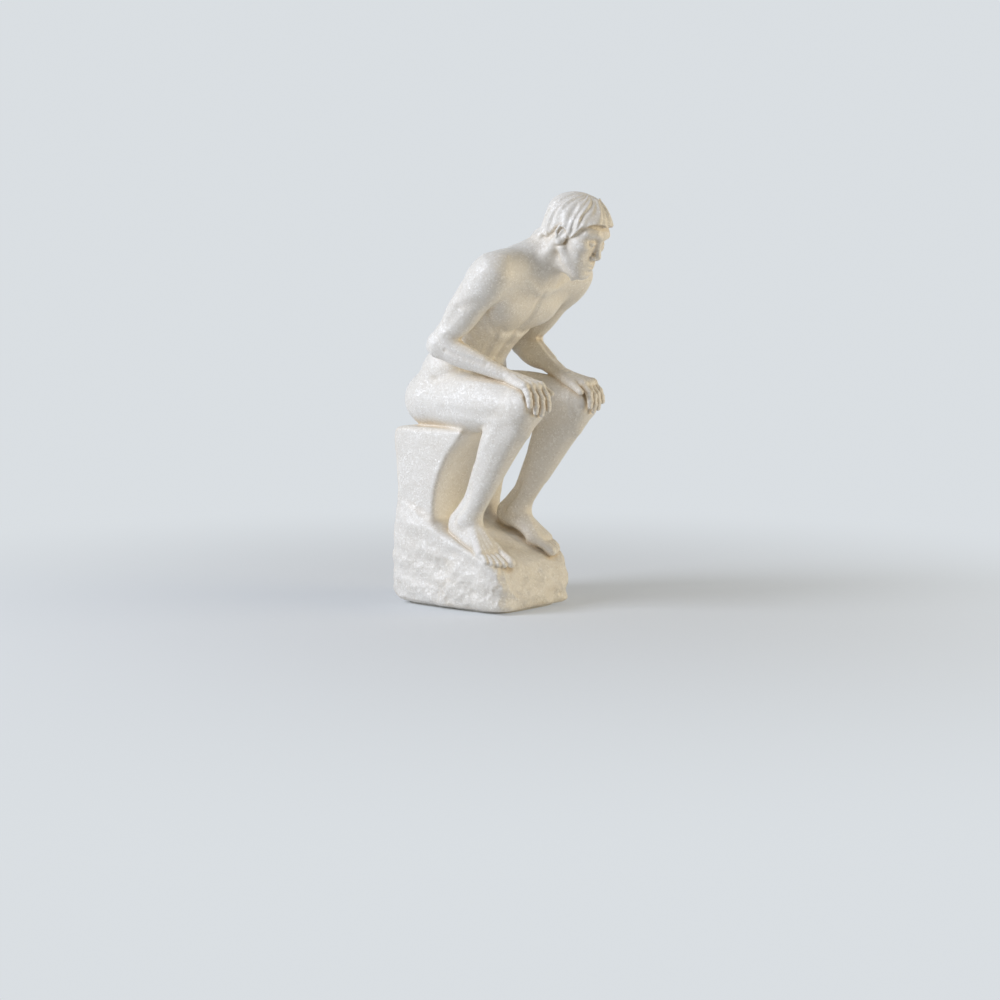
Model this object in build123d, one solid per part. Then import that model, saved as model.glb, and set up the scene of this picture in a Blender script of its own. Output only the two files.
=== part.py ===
from build123d import *
import os
from math import asin, cos, degrees, pi, radians, sin, sqrt

# A cast ornament: a calm seated figure, leaning forward with its hands over its knees, on a boulder.
# Sizes are in millimetres and angles in degrees. The figure faces -Y and its right side is at -X.
# The ornament rests on Z = 0, with the middle of its footprint at the origin.

# Boulder: outer form
base_width = 72.0
base_depth = 90.0
base_round = 5.0
seat_width = 65.0
seat_height = 106.0
seat_front = -12.0
seat_brow = -2.0
seat_waist = 8.0
seat_foot = 11.0
seat_back = 42.0
seat_edge_round = 4.0
apron_height = 11.0
apron_pitch = 62.0
ledge_rise = 26.0

# Boulder: core, floor plate, filler plug and pad
roof_wall = 13.0
side_wall = 7.0
core_draft = 2.0
core_corner = 7.0
fill_clearance = 0.3
plate_lip = 2.5
plate_thickness = 3.0
plate_clearance = 0.2
plug_radius = 6.0
plug_flange = 1.5
plug_flange_thickness = 0.8
plug_length = 8.0
plug_clearance = 0.1
pad_thickness = 1.6
pad_inset = 2.0

# Figure: bone lengths, spacings and angles
hip_rise = 15.5
hip_setback = 22.0
hip_half_spacing = 14.5
thigh_length = 75.0
thigh_fall = 1.0
thigh_splay = 8.0
shin_length = 78.0
right_shin_tuck = 31.0
left_shin_tuck = 34.0
trunk_length = 98.0
trunk_lean = 39.0
trunk_bow = 6.0
shoulder_half_spacing = 36.0
shoulder_forward = 2.5
upper_arm_length = 60.0
forearm_length = 50.0
elbow_out = 0.25
neck_root_rise = 5.0
neck_length = 20.0
neck_lean = 62.0
head_height = 44.0
head_width = 30.5
head_depth = 38.0
head_bow = 25.0
head_turn = 10.0
skull_rise = 9.5
skull_advance = 5.5

# Trunk: half sizes from the seat to the collar, at these shares of its length
trunk_shares = (-0.08, 0.08, 0.24, 0.42, 0.62, 0.82, 0.95)
trunk_half_widths = (25.0, 29.0, 26.5, 23.5, 27.5, 30.0, 27.0)
trunk_half_depths = (16.5, 18.5, 17.0, 16.0, 18.5, 19.0, 15.0)
buttock_radius = 17.5
nape_half_width = 17.0
nape_half_depth = 12.0
neck_half_width = 10.8
neck_half_depth = 11.4

# Chest and shoulder blades: how far out to the side, back and up the trunk they sit, and their sizes
chest_place = (13.5, -9.5, 79.0)
chest_sizes = (35.0, 17.0, 32.0)
blade_place = (16.5, 11.0, 77.0)
blade_sizes = (21.0, 13.0, 28.0)

# The furrow down the spine: its radii and depths at the trunk's sections above the lowest
furrow_radii = (3.0, 5.0, 5.0, 5.0, 5.0, 3.0)
furrow_depths = (0.4, 1.8, 1.8, 2.0, 2.0, 0.4)

# Shoulder yoke: radii at the neck, midway and where the arms are parted
yoke_radii = (12.5, 12.0, 11.0)
yoke_lift = 2.5
yoke_setback = 2.0

# Legs: half sizes down to the joint below, at these shares of the bone
thigh_shares = (0.0, 0.3, 0.6, 0.85)
thigh_half_widths = (17.0, 16.2, 14.6, 12.4)
thigh_half_depths = (17.0, 16.8, 15.2, 12.4)
knee_radius = 11.6
shin_shares = (0.0, 0.14, 0.34, 0.6, 0.84)
shin_half_widths = (11.0, 10.7, 10.4, 8.3, 6.0)
shin_half_depths = (11.0, 11.3, 10.9, 8.8, 6.6)
calf_set_backs = (0.0, 0.5, 2.3, 1.4, 0.5)
ankle_radius = 6.0

# Arms: half sizes down to the joint below, at these shares of the bone
upper_arm_shares = (-0.12, 0.06, 0.3, 0.62, 0.86)
upper_arm_half_widths = (8.5, 11.8, 10.2, 8.4, 7.6)
upper_arm_half_depths = (8.5, 12.4, 11.0, 9.4, 8.0)
deltoid_radius = 11.8
elbow_radius = 7.6
forearm_shares = (0.0, 0.24, 0.62)
forearm_half_widths = (7.2, 8.3, 6.4)
forearm_half_depths = (7.2, 8.0, 5.4)
wrist_half_width = 5.2
wrist_half_depth = 4.0

# Head sections: height, half width, and how far the front and the back stand out,
# as shares of the head's height, width and depth
head_section_shares = [
    (-0.50, 0.17, -0.40, -0.12),
    (-0.45, 0.26, -0.42, -0.02),
    (-0.32, 0.38, -0.44, 0.14),
    (-0.12, 0.44, -0.44, 0.36),
    (0.05, 0.48, -0.43, 0.47),
    (0.20, 0.50, -0.45, 0.50),
    (0.34, 0.45, -0.39, 0.46),
    (0.45, 0.30, -0.25, 0.32),
    (0.50, 0.12, -0.09, 0.14),
]
nose_length = 3.6
nose_width = 4.6
nose_height = 11.0
nose_drop = 5.5
ear_height = 10.5
ear_depth = 6.6
ear_thickness = 3.4
ear_setback = 1.5
ear_drop = 1.8

# Hands
palm_length = 16.5
palm_half_width = 8.0
palm_half_thickness = 3.2
finger_lengths = (14.0, 16.5, 15.5, 12.0)
finger_radius = 1.85
finger_gap = 0.5
finger_bone_shares = (0.46, 0.3, 0.24)
thumb_length = 15.0
thumb_radius = 2.2
thumb_root_shares = (0.3, 0.7)
thumb_aim_shares = (0.8, 0.5, -0.3)
hand_press = 0.3
wrist_lift = 1.4
wrist_drape_angle = -27.0
heel_of_hand_share = 0.45

# Feet
foot_turnout = 5.0
foot_pitch = 24.0
ankle_height = 13.0
foot_length = 47.0
foot_half_width = 9.2
heel_overhang = 12.0
instep_height = 15.0
toe_lengths = (9.0, 8.6, 7.8, 6.8, 5.8)
toe_radii = (3.2, 2.4, 2.3, 2.2, 2.1)

# Foot sections: reach along the foot, half width and height, as shares of the foot's own sizes
foot_section_shares = [
    (0.01, 0.42, 0.50),
    (0.08, 0.70, 0.82),
    (0.24, 0.72, 1.00),
    (0.52, 0.90, 0.80),
    (0.76, 1.00, 0.50),
    (0.86, 0.92, 0.34),
]
toe_root_share = 0.79
sole_sink_share = 0.12

# Pins that hold the castings together
dowel_radius = 1.5
dowel_length = 16.0
stud_radius = 2.0
stud_length = 18.0
stud_half_spacing = 14.0
foot_pin_radius = 1.2
foot_pin_length = 11.0
pin_clearance = 0.05
socket_overrun = 0.5
cut_reach = 400.0
fuse_tolerance = 0.01

# Where the castings are parted, as shares of the length that the cut crosses
hip_cut_share = 0.36
shoulder_cut_share = 0.75
neck_cut_share = 0.3

# The boulder's outline: its corners, how square it is and how it wavers
rock_corners = 28
rock_squareness = 6.0
rock_rough_share = 0.025
rock_wave_steps = (1.54, 0.71)

# Heights on the seat block, as shares of its rise above its foot
waist_share = 0.4
brow_share = 0.76

UP = Vector(0, 0, 1)
BACK = Vector(0, 1, 0)
ACROSS = Vector(1, 0, 0)
RIGHT, LEFT = SIDES = (-1, 1)


def heading(pitch, yaw=0.0):
    """A forward unit vector, pitched down and turned towards +X."""
    p, y = radians(pitch), radians(yaw)
    return Vector(sin(y) * cos(p), -cos(y) * cos(p), -sin(p))


def leaning(angle):
    """An upward unit vector, leaning forward."""
    return UP * cos(radians(angle)) - BACK * sin(radians(angle))


def between(a, b, share):
    """What lies that share of the way from a to b, for points and for numbers."""
    return a + (b - a) * share


def inward(side, ahead):
    """The level direction towards the figure's midline, square to a level direction ahead."""
    return ahead.cross(UP) * side


# Skeleton

hip_height = seat_height + hip_rise
pelvis_centre = Vector(0, hip_setback, hip_height)
trunk_axis = leaning(trunk_lean)
trunk_back = ACROSS.cross(trunk_axis) * -1
collar = pelvis_centre + trunk_axis * trunk_length
neck_axis = leaning(neck_lean)
neck_root = collar + trunk_axis * neck_root_rise
skull_base = neck_root + neck_axis * neck_length
neck_joint = between(neck_root, skull_base, neck_cut_share)
head_forward = heading(head_bow, head_turn)
head_side = UP.cross(heading(0, head_turn))
head_up = head_forward.cross(head_side)
head_centre = skull_base + head_up * skull_rise + head_forward * skull_advance


def hip(side):
    return Vector(side * hip_half_spacing, hip_setback, hip_height)


def thigh_direction(side):
    return heading(thigh_fall, side * thigh_splay)


def knee(side):
    return hip(side) + thigh_direction(side) * thigh_length


def shin_tuck(side):
    return radians(right_shin_tuck if side == RIGHT else left_shin_tuck)


def ankle(side):
    down = BACK * sin(shin_tuck(side)) - UP * cos(shin_tuck(side))
    return knee(side) + down * shin_length


def foot_direction(side):
    return heading(foot_pitch, side * foot_turnout)


def foot_inward(side):
    """The level direction from a foot's outer edge to its inner edge."""
    return inward(side, heading(0, side * foot_turnout))


def foot_upward(side):
    """Square to the sole, which slopes down towards the toes."""
    return foot_direction(side).cross(foot_inward(side)) * -side


def on_sole(side):
    """The point of the sole under the ankle."""
    return ankle(side) - foot_upward(side) * ankle_height


def shoulder(side):
    return collar + ACROSS * side * shoulder_half_spacing - BACK * shoulder_forward


def over_knee(side, angle, reach):
    """A point round the knee, at an angle forwards from straight above it."""
    forward = heading(0, side * thigh_splay)
    return knee(side) + (UP * cos(radians(angle)) + forward * sin(radians(angle))) * reach


def wrist(side):
    return over_knee(side, wrist_drape_angle, knee_radius + wrist_half_depth + wrist_lift)


def elbow(side):
    """Where the two arm bones meet, swung back and a little out from the line between their ends."""
    line = wrist(side) - shoulder(side)
    along = (upper_arm_length**2 - forearm_length**2 + line.length**2) / (2 * line.length)
    swing = sqrt(upper_arm_length**2 - along**2)
    line = line.normalized()
    pole = BACK + ACROSS * side * elbow_out
    pole = (pole - line * line.dot(pole)).normalized()
    return shoulder(side) + line * along + pole * swing


def hip_joint(side):
    """The middle of the cut between the torso casting and a leg casting."""
    return between(hip(side), knee(side), hip_cut_share)


def shoulder_joint(side):
    """The middle of the cut between the torso casting and an arm casting."""
    return between(collar, shoulder(side), shoulder_cut_share)


def stud_centre(side):
    return Vector(side * stud_half_spacing, hip_setback, seat_height)


# Shapes that several pieces use

def half_space(point, normal):
    """A large block on the side of a plane that its normal points to."""
    block = Box(cut_reach, cut_reach, cut_reach, align=(Align.CENTER, Align.CENTER, Align.MIN))
    return Plane(origin=point, z_dir=normal) * block


def tube(stations):
    """A smooth solid through ovals, each (centre, direction, side, radius along side, other radius)."""
    return loft([
        Plane(origin=centre, x_dir=side, z_dir=direction) * Ellipse(along_side, other)
        for centre, direction, side, along_side, other in stations
    ])


def limb(start, end, side, shares, half_widths, half_depths, backward=BACK, set_backs=None):
    """A limb between two joints, through ovals at the given shares of its length."""
    direction = (end - start).normalized()
    set_backs = set_backs or [0.0] * len(shares)
    return tube([
        (between(start, end, share) + backward * set_back, direction, side, half_width, half_depth)
        for share, half_width, half_depth, set_back in zip(shares, half_widths, half_depths, set_backs)
    ])


def ball(centre, radius):
    return Pos(centre) * Sphere(radius)


def ellipsoid(centre, sizes):
    return Pos(centre) * scale(Sphere(1), by=tuple(size / 2 for size in sizes))


def pin(centre, direction, radius, length):
    """A plain round pin with its middle at centre."""
    return Plane(origin=centre, z_dir=direction) * Cylinder(radius, length)


# Every pin, by node: its middle, direction, radius and length
pins = {
    "neck_dowel": [(neck_joint, neck_axis, dowel_radius, dowel_length)],
    "shoulder_dowels": [(shoulder_joint(s), ACROSS, dowel_radius, dowel_length) for s in SIDES],
    "hip_dowels": [(hip_joint(s), thigh_direction(s), dowel_radius, dowel_length) for s in SIDES],
    "seat_studs": [(stud_centre(s), UP, stud_radius, stud_length) for s in SIDES],
    "foot_pins": [(on_sole(s), foot_upward(s), foot_pin_radius, foot_pin_length) for s in SIDES],
}


def bored(body, *nodes):
    """The body with a clear bore for each pin of the named nodes."""
    for node in nodes:
        for centre, direction, radius, length in pins[node]:
            body -= pin(centre, direction, radius + pin_clearance, length + 2 * socket_overrun)
    return body


# Boulder

def rock_ring(height, half_width, front, back, turn, centre_x=0.0):
    """One level of the boulder: a squared-off oval whose reach wavers a little."""
    middle, half_depth = (front + back) / 2, (back - front) / 2
    step_a, step_b = rock_wave_steps
    points = []
    for i in range(rock_corners):
        a = 2 * pi * (i + 0.5) / rock_corners
        reach = (abs(cos(a))**rock_squareness + abs(sin(a))**rock_squareness) ** (-1 / rock_squareness)
        reach *= 1 + rock_rough_share * sin(step_a * i + turn) * cos(step_b * i - turn)
        x, y = half_width * reach * cos(a), half_depth * reach * sin(a)
        points.append(Vector(centre_x + x, middle + y, height))
    return points


def faceted(levels, first_turn=0, centre_x=0.0):
    """A closed solid with flat facets between rock rings at levels of (height, half width, front, back)."""
    rings = [rock_ring(*level, first_turn + i, centre_x) for i, level in enumerate(levels)]
    outlines = [rings[0], rings[-1]]
    for low, high in zip(rings, rings[1:]):
        for i in range(rock_corners):
            j = (i + 1) % rock_corners
            outlines += [[low[i], low[j], high[j]], [low[i], high[j], high[i]]]
    return Solid(Shell([Face(Wire.make_polygon(outline)) for outline in outlines]))


def boulder_form():
    """The outer form: a tier that slopes down under the feet, and the seat block behind it."""
    half_w, half_d = base_width / 2, base_depth / 2
    inset = half_d - base_round
    heel_height = max(on_sole(side).Z for side in SIDES)
    tier = faceted([
        (pad_thickness, half_w - base_round, -inset, inset),
        (pad_thickness + base_round, half_w, -half_d, half_d),
        (heel_height, half_w, -half_d, half_d),
        (heel_height + ledge_rise, half_w - base_round, -inset, inset),
    ])
    slope, apron = heading(foot_pitch - 90), heading(apron_pitch - 90)
    higher = max(SIDES, key=lambda side: on_sole(side).dot(slope))
    tier -= half_space(on_sole(higher), slope)
    tier -= half_space(Vector(0, -half_d, pad_thickness + apron_height), apron)
    half_s = seat_width / 2
    block = faceted([
        (heel_height - base_round, half_s, seat_foot, seat_back),
        (between(heel_height, seat_height, waist_share), half_s, seat_waist, seat_back),
        (between(heel_height, seat_height, brow_share), half_s, seat_brow, seat_back),
        (seat_height - seat_edge_round, half_s, seat_front, seat_back),
        (seat_height, half_s - seat_edge_round, seat_front + seat_edge_round, seat_back - seat_edge_round),
    ], first_turn=4)
    return tier + block


core_half_width = seat_width / 2 - side_wall
core_front = seat_foot + side_wall
core_back = seat_back - side_wall
core_middle = Vector(0, (core_front + core_back) / 2, pad_thickness)
core_top = seat_height - roof_wall


def core_form(low, high, inset):
    """The drafted core under the seat, between two heights and drawn in by inset."""
    faces = []
    for height in (low, high):
        draw = inset + core_draft * (height - pad_thickness) / (core_top - pad_thickness)
        outline = RectangleRounded(2 * (core_half_width - draw), core_back - core_front - 2 * draw,
                                   core_corner - draw)
        faces.append(Pos(0, core_middle.Y, height) * outline)
    return loft(faces, ruled=True)


def plate_form(inset):
    """The floor plate's slab under the core, drawn in by inset."""
    lip = plate_lip - inset
    outline = RectangleRounded(2 * (core_half_width + lip), core_back - core_front + 2 * lip,
                               core_corner + lip)
    return extrude(Pos(core_middle) * outline, plate_thickness)


def upright(radius, low, high):
    """A round column over the middle of the core."""
    column = Cylinder(radius, high - low, align=(Align.CENTER, Align.CENTER, Align.MIN))
    return Pos(0, core_middle.Y, low) * column


def plug_form(clearance):
    """The plug's stem and flange, flush with the underside, grown by clearance."""
    flange_top = pad_thickness + plug_flange_thickness + clearance
    flange = upright(plug_radius + plug_flange + clearance, pad_thickness, flange_top)
    return flange + upright(plug_radius + clearance, pad_thickness, pad_thickness + plug_length + clearance)


def ballast_block():
    low = pad_thickness + plate_thickness + fill_clearance
    block = core_form(low, core_top - fill_clearance, fill_clearance)
    return block - plug_form(fill_clearance)


def felt_pad():
    inset = base_round + pad_inset
    half_w, half_d = base_width / 2 - inset, base_depth / 2 - inset
    return extrude(Face(Wire.make_polygon(rock_ring(0, half_w, -half_d, half_d, 0))), pad_thickness)


# Figure

def thigh_form(side):
    return limb(hip(side), knee(side), ACROSS, (*thigh_shares, 1), (*thigh_half_widths, knee_radius),
                (*thigh_half_depths, knee_radius))


def shin_form(side):
    calf = BACK * cos(shin_tuck(side)) + UP * sin(shin_tuck(side))
    return limb(knee(side), ankle(side), ACROSS, (*shin_shares, 1), (*shin_half_widths, ankle_radius),
                (*shin_half_depths, ankle_radius), calf, (*calf_set_backs, 0))


def foot_form(side):
    """The foot, from heel to toes, with its sole flat."""
    ahead, medial, upward = foot_direction(side), foot_inward(side), foot_upward(side)
    heel = on_sole(side) - ahead * heel_overhang
    centre_share, radius_share = 1 / 2 - sole_sink_share, 1 / 2 + sole_sink_share
    form = tube([
        (heel + ahead * foot_length * reach + upward * instep_height * height * centre_share, ahead, medial,
         foot_half_width * half_width, instep_height * height * radius_share)
        for reach, half_width, height in foot_section_shares
    ])
    offset = foot_half_width
    for length, radius in zip(toe_lengths, toe_radii):
        root = heel + ahead * foot_length * toe_root_share + medial * (offset - radius) + upward * radius
        form += pin(root + ahead * length / 2, ahead, radius, length) + ball(root + ahead * length, radius)
        offset -= 2 * radius * foot_half_width / sum(toe_radii)
    return form & half_space(on_sole(side), upward)


def leg_form(side):
    pieces = [ball(knee(side), knee_radius), shin_form(side), foot_form(side)]
    body = thigh_form(side).fuse(*pieces, tol=fuse_tolerance)
    return body & half_space(hip_joint(side), thigh_direction(side))


def on_trunk(across, back, along):
    """A point beside the trunk's bowed line."""
    bow = trunk_bow * sin(pi * along / trunk_length)
    return pelvis_centre + ACROSS * across + trunk_back * (back + bow) + trunk_axis * along


def muscle(place, sizes, side):
    """An egg-shaped mass, turned with the trunk."""
    across, back, along = place
    frame = Plane(origin=on_trunk(side * across, back, along), x_dir=ACROSS, z_dir=trunk_axis)
    return frame * ellipsoid(Vector(0, 0, 0), sizes)


def furrow_form():
    """What is cut away along the spine."""
    sections = []
    for share, half_depth, radius, depth in zip(trunk_shares[1:], trunk_half_depths[1:], furrow_radii,
                                                furrow_depths):
        centre = on_trunk(0, half_depth + radius - depth, share * trunk_length)
        sections.append((centre, trunk_axis, ACROSS, radius, radius))
    return tube(sections)


def trunk_form():
    """The trunk from the seat to the neck cut, with the shoulder yoke and the roots of the thighs."""
    sections = []
    for share, half_width, half_depth in zip(trunk_shares, trunk_half_widths, trunk_half_depths):
        centre = on_trunk(0, 0, share * trunk_length)
        sections.append((centre, trunk_axis, ACROSS, half_width, half_depth))
    sections.append((neck_root, neck_axis, ACROSS, nape_half_width, nape_half_depth))
    sections.append((neck_joint, neck_axis, ACROSS, neck_half_width, neck_half_depth))
    pieces = [yoke_form()]
    for side in SIDES:
        pieces += [muscle(chest_place, chest_sizes, side), muscle(blade_place, blade_sizes, side)]
        pieces.append(ball(hip(side) + BACK * (buttock_radius - hip_rise), buttock_radius))
        pieces.append(thigh_form(side) & half_space(hip_joint(side), thigh_direction(side) * -1))
    body = tube(sections).fuse(*pieces, tol=fuse_tolerance) - furrow_form()
    return body & half_space(neck_joint, neck_axis * -1)


def yoke_form():
    """The bar of muscle from one shoulder cut to the other."""
    at_neck, midway, at_shoulder = yoke_radii
    middle = collar + trunk_axis * yoke_lift + trunk_back * yoke_setback
    ends = [shoulder_joint(side) for side in SIDES]
    return tube([
        (ends[0], ACROSS, BACK, at_shoulder, at_shoulder),
        (between(ends[0], middle, 1 / 2), ACROSS, BACK, midway, midway),
        (middle, ACROSS, BACK, at_neck, at_neck),
        (between(middle, ends[1], 1 / 2), ACROSS, BACK, midway, midway),
        (ends[1], ACROSS, BACK, at_shoulder, at_shoulder),
    ])


def hand_form(side):
    """A relaxed hand draped over the knee: the palm, four fingers side by side, and the thumb."""
    forward = heading(0, side * thigh_splay)
    medial = inward(side, forward)
    wrist_reach = knee_radius + wrist_half_depth + wrist_lift
    knuckle_reach = knee_radius + palm_half_thickness - hand_press
    finger_reach = knee_radius + finger_radius - hand_press
    knuckle_angle = wrist_drape_angle + degrees(2 * asin(palm_length / (wrist_reach + knuckle_reach)))
    start, knuckles = wrist(side), over_knee(side, knuckle_angle, knuckle_reach)
    along = (knuckles - start).normalized()
    form = tube([
        (start, along, medial, wrist_half_width, wrist_half_depth),
        (between(start, knuckles, heel_of_hand_share), along, medial, palm_half_width - finger_gap,
         palm_half_thickness),
        (knuckles, along, medial, palm_half_width, palm_half_thickness),
        (knuckles + along * finger_radius, along, medial, palm_half_width - finger_radius, finger_radius),
    ])
    pitch = 2 * finger_radius + finger_gap
    for i, length in enumerate(finger_lengths):
        angles = [knuckle_angle]
        for share in finger_bone_shares:
            angles.append(angles[-1] + degrees(2 * asin(length * share / 2 / finger_reach)))
        aside = medial * pitch * ((len(finger_lengths) - 1) / 2 - i)
        bones = FilletPolyline(*[over_knee(side, angle, finger_reach) + aside for angle in angles],
                               radius=finger_radius)
        form += sweep(Plane(origin=bones @ 0, z_dir=bones % 0) * Circle(finger_radius), bones)
        form += ball(bones @ 1, finger_radius)
    root_share, aside_share = thumb_root_shares
    root = between(start, knuckles, root_share) + medial * palm_half_width * aside_share
    aim = [axis * share for axis, share in zip((forward, medial, UP), thumb_aim_shares)]
    aim = (aim[0] + aim[1] + aim[2]).normalized()
    form += pin(root + aim * thumb_length / 2, aim, thumb_radius, thumb_length)
    return form + ball(root + aim * thumb_length, thumb_radius)


def arm_form(side):
    top, bend, end = shoulder(side), elbow(side), wrist(side)
    medial = inward(side, heading(0, side * thigh_splay))
    body = limb(top, bend, ACROSS, (*upper_arm_shares, 1), (*upper_arm_half_widths, elbow_radius),
                (*upper_arm_half_depths, elbow_radius))
    body += ball(top, deltoid_radius) + ball(bend, elbow_radius)
    yoke_end = yoke_radii[-1]
    body += tube([(centre, ACROSS, BACK, yoke_end, yoke_end) for centre in (shoulder_joint(side), top)])
    body += limb(bend, end, medial, (*forearm_shares, 1), (*forearm_half_widths, wrist_half_width),
                 (*forearm_half_depths, wrist_half_depth))
    return body + hand_form(side)


def head_form():
    """The head with plain rounds for nose and ears, and the neck above the neck cut."""
    skull = tube([
        (Vector(0, head_depth * (front + back) / 2, head_height * height), UP, ACROSS,
         head_width * half_width, head_depth * (back - front) / 2)
        for height, half_width, front, back in head_section_shares
    ])
    face = min(front for height, half_width, front, back in head_section_shares) * head_depth
    skull += ellipsoid(Vector(0, face, -nose_drop), (nose_width, 2 * nose_length, nose_height))
    for side in SIDES:
        ear_at = Vector(side * (head_width - ear_thickness / 2) / 2, ear_setback, -ear_drop)
        skull += ellipsoid(ear_at, (ear_thickness, ear_depth, ear_height))
    neck = tube([
        (neck_joint, neck_axis, ACROSS, neck_half_width, neck_half_depth),
        (skull_base, neck_axis, ACROSS, neck_half_width - nose_width / 2, neck_half_depth),
        (skull_base + neck_axis * skull_advance, neck_axis, ACROSS, neck_half_width / 2, neck_half_depth / 2),
    ])
    body = Plane(origin=head_centre, x_dir=head_side, z_dir=head_up) * skull + neck
    return body & half_space(neck_joint, neck_axis)


def build():
    """Every node's shape. Where two castings meet, the first one made keeps the shared surface."""
    rock = boulder_form()
    trunk = trunk_form() - rock
    parts = {
        "rock_seat": bored(rock - core_form(pad_thickness, core_top, 0) - plate_form(0),
                           "seat_studs", "foot_pins"),
        "ballast_block": ballast_block(),
        "base_plate": plate_form(plate_clearance) - plug_form(plug_clearance),
        "filler_plug": plug_form(0),
        "felt_pad": felt_pad(),
        "torso": bored(trunk, "neck_dowel", "shoulder_dowels", "hip_dowels", "seat_studs"),
        "head": bored(head_form() - trunk, "neck_dowel"),
    }
    for side, name in zip(SIDES, ("right", "left")):
        leg = leg_form(side) - rock - trunk
        parts[f"{name}_leg"] = bored(leg, "hip_dowels", "foot_pins")
        parts[f"{name}_arm"] = bored(arm_form(side) - trunk - leg, "shoulder_dowels")
    for node, places in pins.items():
        parts[node] = Compound([pin(*place) for place in places])
    return parts


os.makedirs("parts", exist_ok=True)
for node, shape in build().items():
    export_step(shape, f"parts/{node}.step")
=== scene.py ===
from math import asin, cos, degrees, pi, radians, sin, sqrt

import bpy
import numpy as np
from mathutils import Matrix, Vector


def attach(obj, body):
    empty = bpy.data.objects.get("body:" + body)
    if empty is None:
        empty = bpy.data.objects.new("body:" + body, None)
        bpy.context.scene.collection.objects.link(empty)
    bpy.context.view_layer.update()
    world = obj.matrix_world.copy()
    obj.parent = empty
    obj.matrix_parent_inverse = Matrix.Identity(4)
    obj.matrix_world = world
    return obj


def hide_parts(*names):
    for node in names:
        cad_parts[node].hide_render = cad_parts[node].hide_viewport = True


# A cast ornament: a calm seated figure on a boulder, modelled as soft masses of clay.
# Everything is worked out in millimetres, and leaves in metres.
# The figure faces -Y, its right side is at -X.

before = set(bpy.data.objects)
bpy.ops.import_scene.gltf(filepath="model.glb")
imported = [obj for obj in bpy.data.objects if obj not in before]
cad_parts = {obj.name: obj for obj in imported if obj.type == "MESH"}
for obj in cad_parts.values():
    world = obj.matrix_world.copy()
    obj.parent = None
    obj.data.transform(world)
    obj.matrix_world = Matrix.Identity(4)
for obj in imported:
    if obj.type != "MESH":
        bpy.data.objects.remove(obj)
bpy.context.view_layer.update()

MM = 0.001

# Boulder
base_width = 72.0
base_depth = 90.0
seat_width = 65.0
seat_height = 106.0
seat_foot = 11.0
seat_back = 42.0
pad_thickness = 1.6
pad_margin = 7.0
apron_height = 11.0
apron_pitch = 62.0
core_wall = 7.0
core_roof = 13.0
core_corner = 7.0

# Bones, spacings and angles
hip_rise = 15.5
hip_setback = 22.0
hip_half_spacing = 14.5
thigh_length = 75.0
thigh_fall = 1.0
thigh_splay = 8.0
shin_length = 78.0
shin_tucks = {-1: 31.0, 1: 34.0}
trunk_length = 98.0
trunk_lean = 39.0
trunk_bow = 6.0
shoulder_half_spacing = 36.0
shoulder_forward = 2.5
upper_arm_length = 60.0
forearm_length = 50.0
elbow_out = 0.25
neck_root_rise = 5.0
neck_length = 20.0
neck_lean = 62.0
head_bow = 25.0
head_turn = 10.0
skull_rise = 9.5
skull_advance = 5.5
knee_radius = 11.6
wrist_half_depth = 4.0
wrist_lift = 1.4
wrist_drape_angle = -27.0
foot_turnout = 5.0
foot_pitch = 24.0
ankle_height = 13.0

# Where the castings are parted, as shares of the length that the cut crosses
hip_cut_share = 0.36
shoulder_cut_share = 0.75
neck_cut_share = 0.3

SIDES = (-1, 1)
FAR = 60.0


def vec(x, y, z):
    return np.array((x, y, z), float)


def unit(v):
    return v / np.linalg.norm(v)


UP, BACK, ACROSS = vec(0, 0, 1), vec(0, 1, 0), vec(1, 0, 0)


def heading(pitch, yaw=0.0):
    """A forward unit vector, pitched down and turned towards +X."""
    p, y = radians(pitch), radians(yaw)
    return vec(sin(y) * cos(p), -cos(y) * cos(p), -sin(p))


def leaning(angle):
    return UP * cos(radians(angle)) - BACK * sin(radians(angle))


def between(a, b, share):
    return a + (b - a) * share


def square_to(v, direction):
    """What is left of v once its part along a unit direction is taken out, as a unit vector."""
    return unit(v - direction * np.dot(v, direction))


# Skeleton

hip_height = seat_height + hip_rise
pelvis_centre = vec(0, hip_setback, hip_height)
trunk_axis = leaning(trunk_lean)
trunk_back = -np.cross(ACROSS, trunk_axis)
collar = pelvis_centre + trunk_axis * trunk_length
neck_axis = leaning(neck_lean)
neck_root = collar + trunk_axis * neck_root_rise
skull_base = neck_root + neck_axis * neck_length
neck_joint = between(neck_root, skull_base, neck_cut_share)
head_forward = heading(head_bow, head_turn)
head_side = np.cross(UP, heading(0, head_turn))
head_up = np.cross(head_forward, head_side)
head_centre = skull_base + head_up * skull_rise + head_forward * skull_advance


def hip(side):
    return vec(side * hip_half_spacing, hip_setback, hip_height)


def thigh_direction(side):
    return heading(thigh_fall, side * thigh_splay)


def knee(side):
    return hip(side) + thigh_direction(side) * thigh_length


def ankle(side):
    tuck = radians(shin_tucks[side])
    return knee(side) + (BACK * sin(tuck) - UP * cos(tuck)) * shin_length


def foot_direction(side):
    return heading(foot_pitch, side * foot_turnout)


def foot_inward(side):
    return np.cross(heading(0, side * foot_turnout), UP) * side


def foot_upward(side):
    return np.cross(foot_direction(side), foot_inward(side)) * -side


def on_sole(side):
    return ankle(side) - foot_upward(side) * ankle_height


def shoulder(side):
    return collar + ACROSS * side * shoulder_half_spacing - BACK * shoulder_forward


def over_knee(side, angle, reach):
    forward = heading(0, side * thigh_splay)
    return knee(side) + (UP * cos(radians(angle)) + forward * sin(radians(angle))) * reach


def wrist(side):
    return over_knee(side, wrist_drape_angle, knee_radius + wrist_half_depth + wrist_lift)


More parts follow.
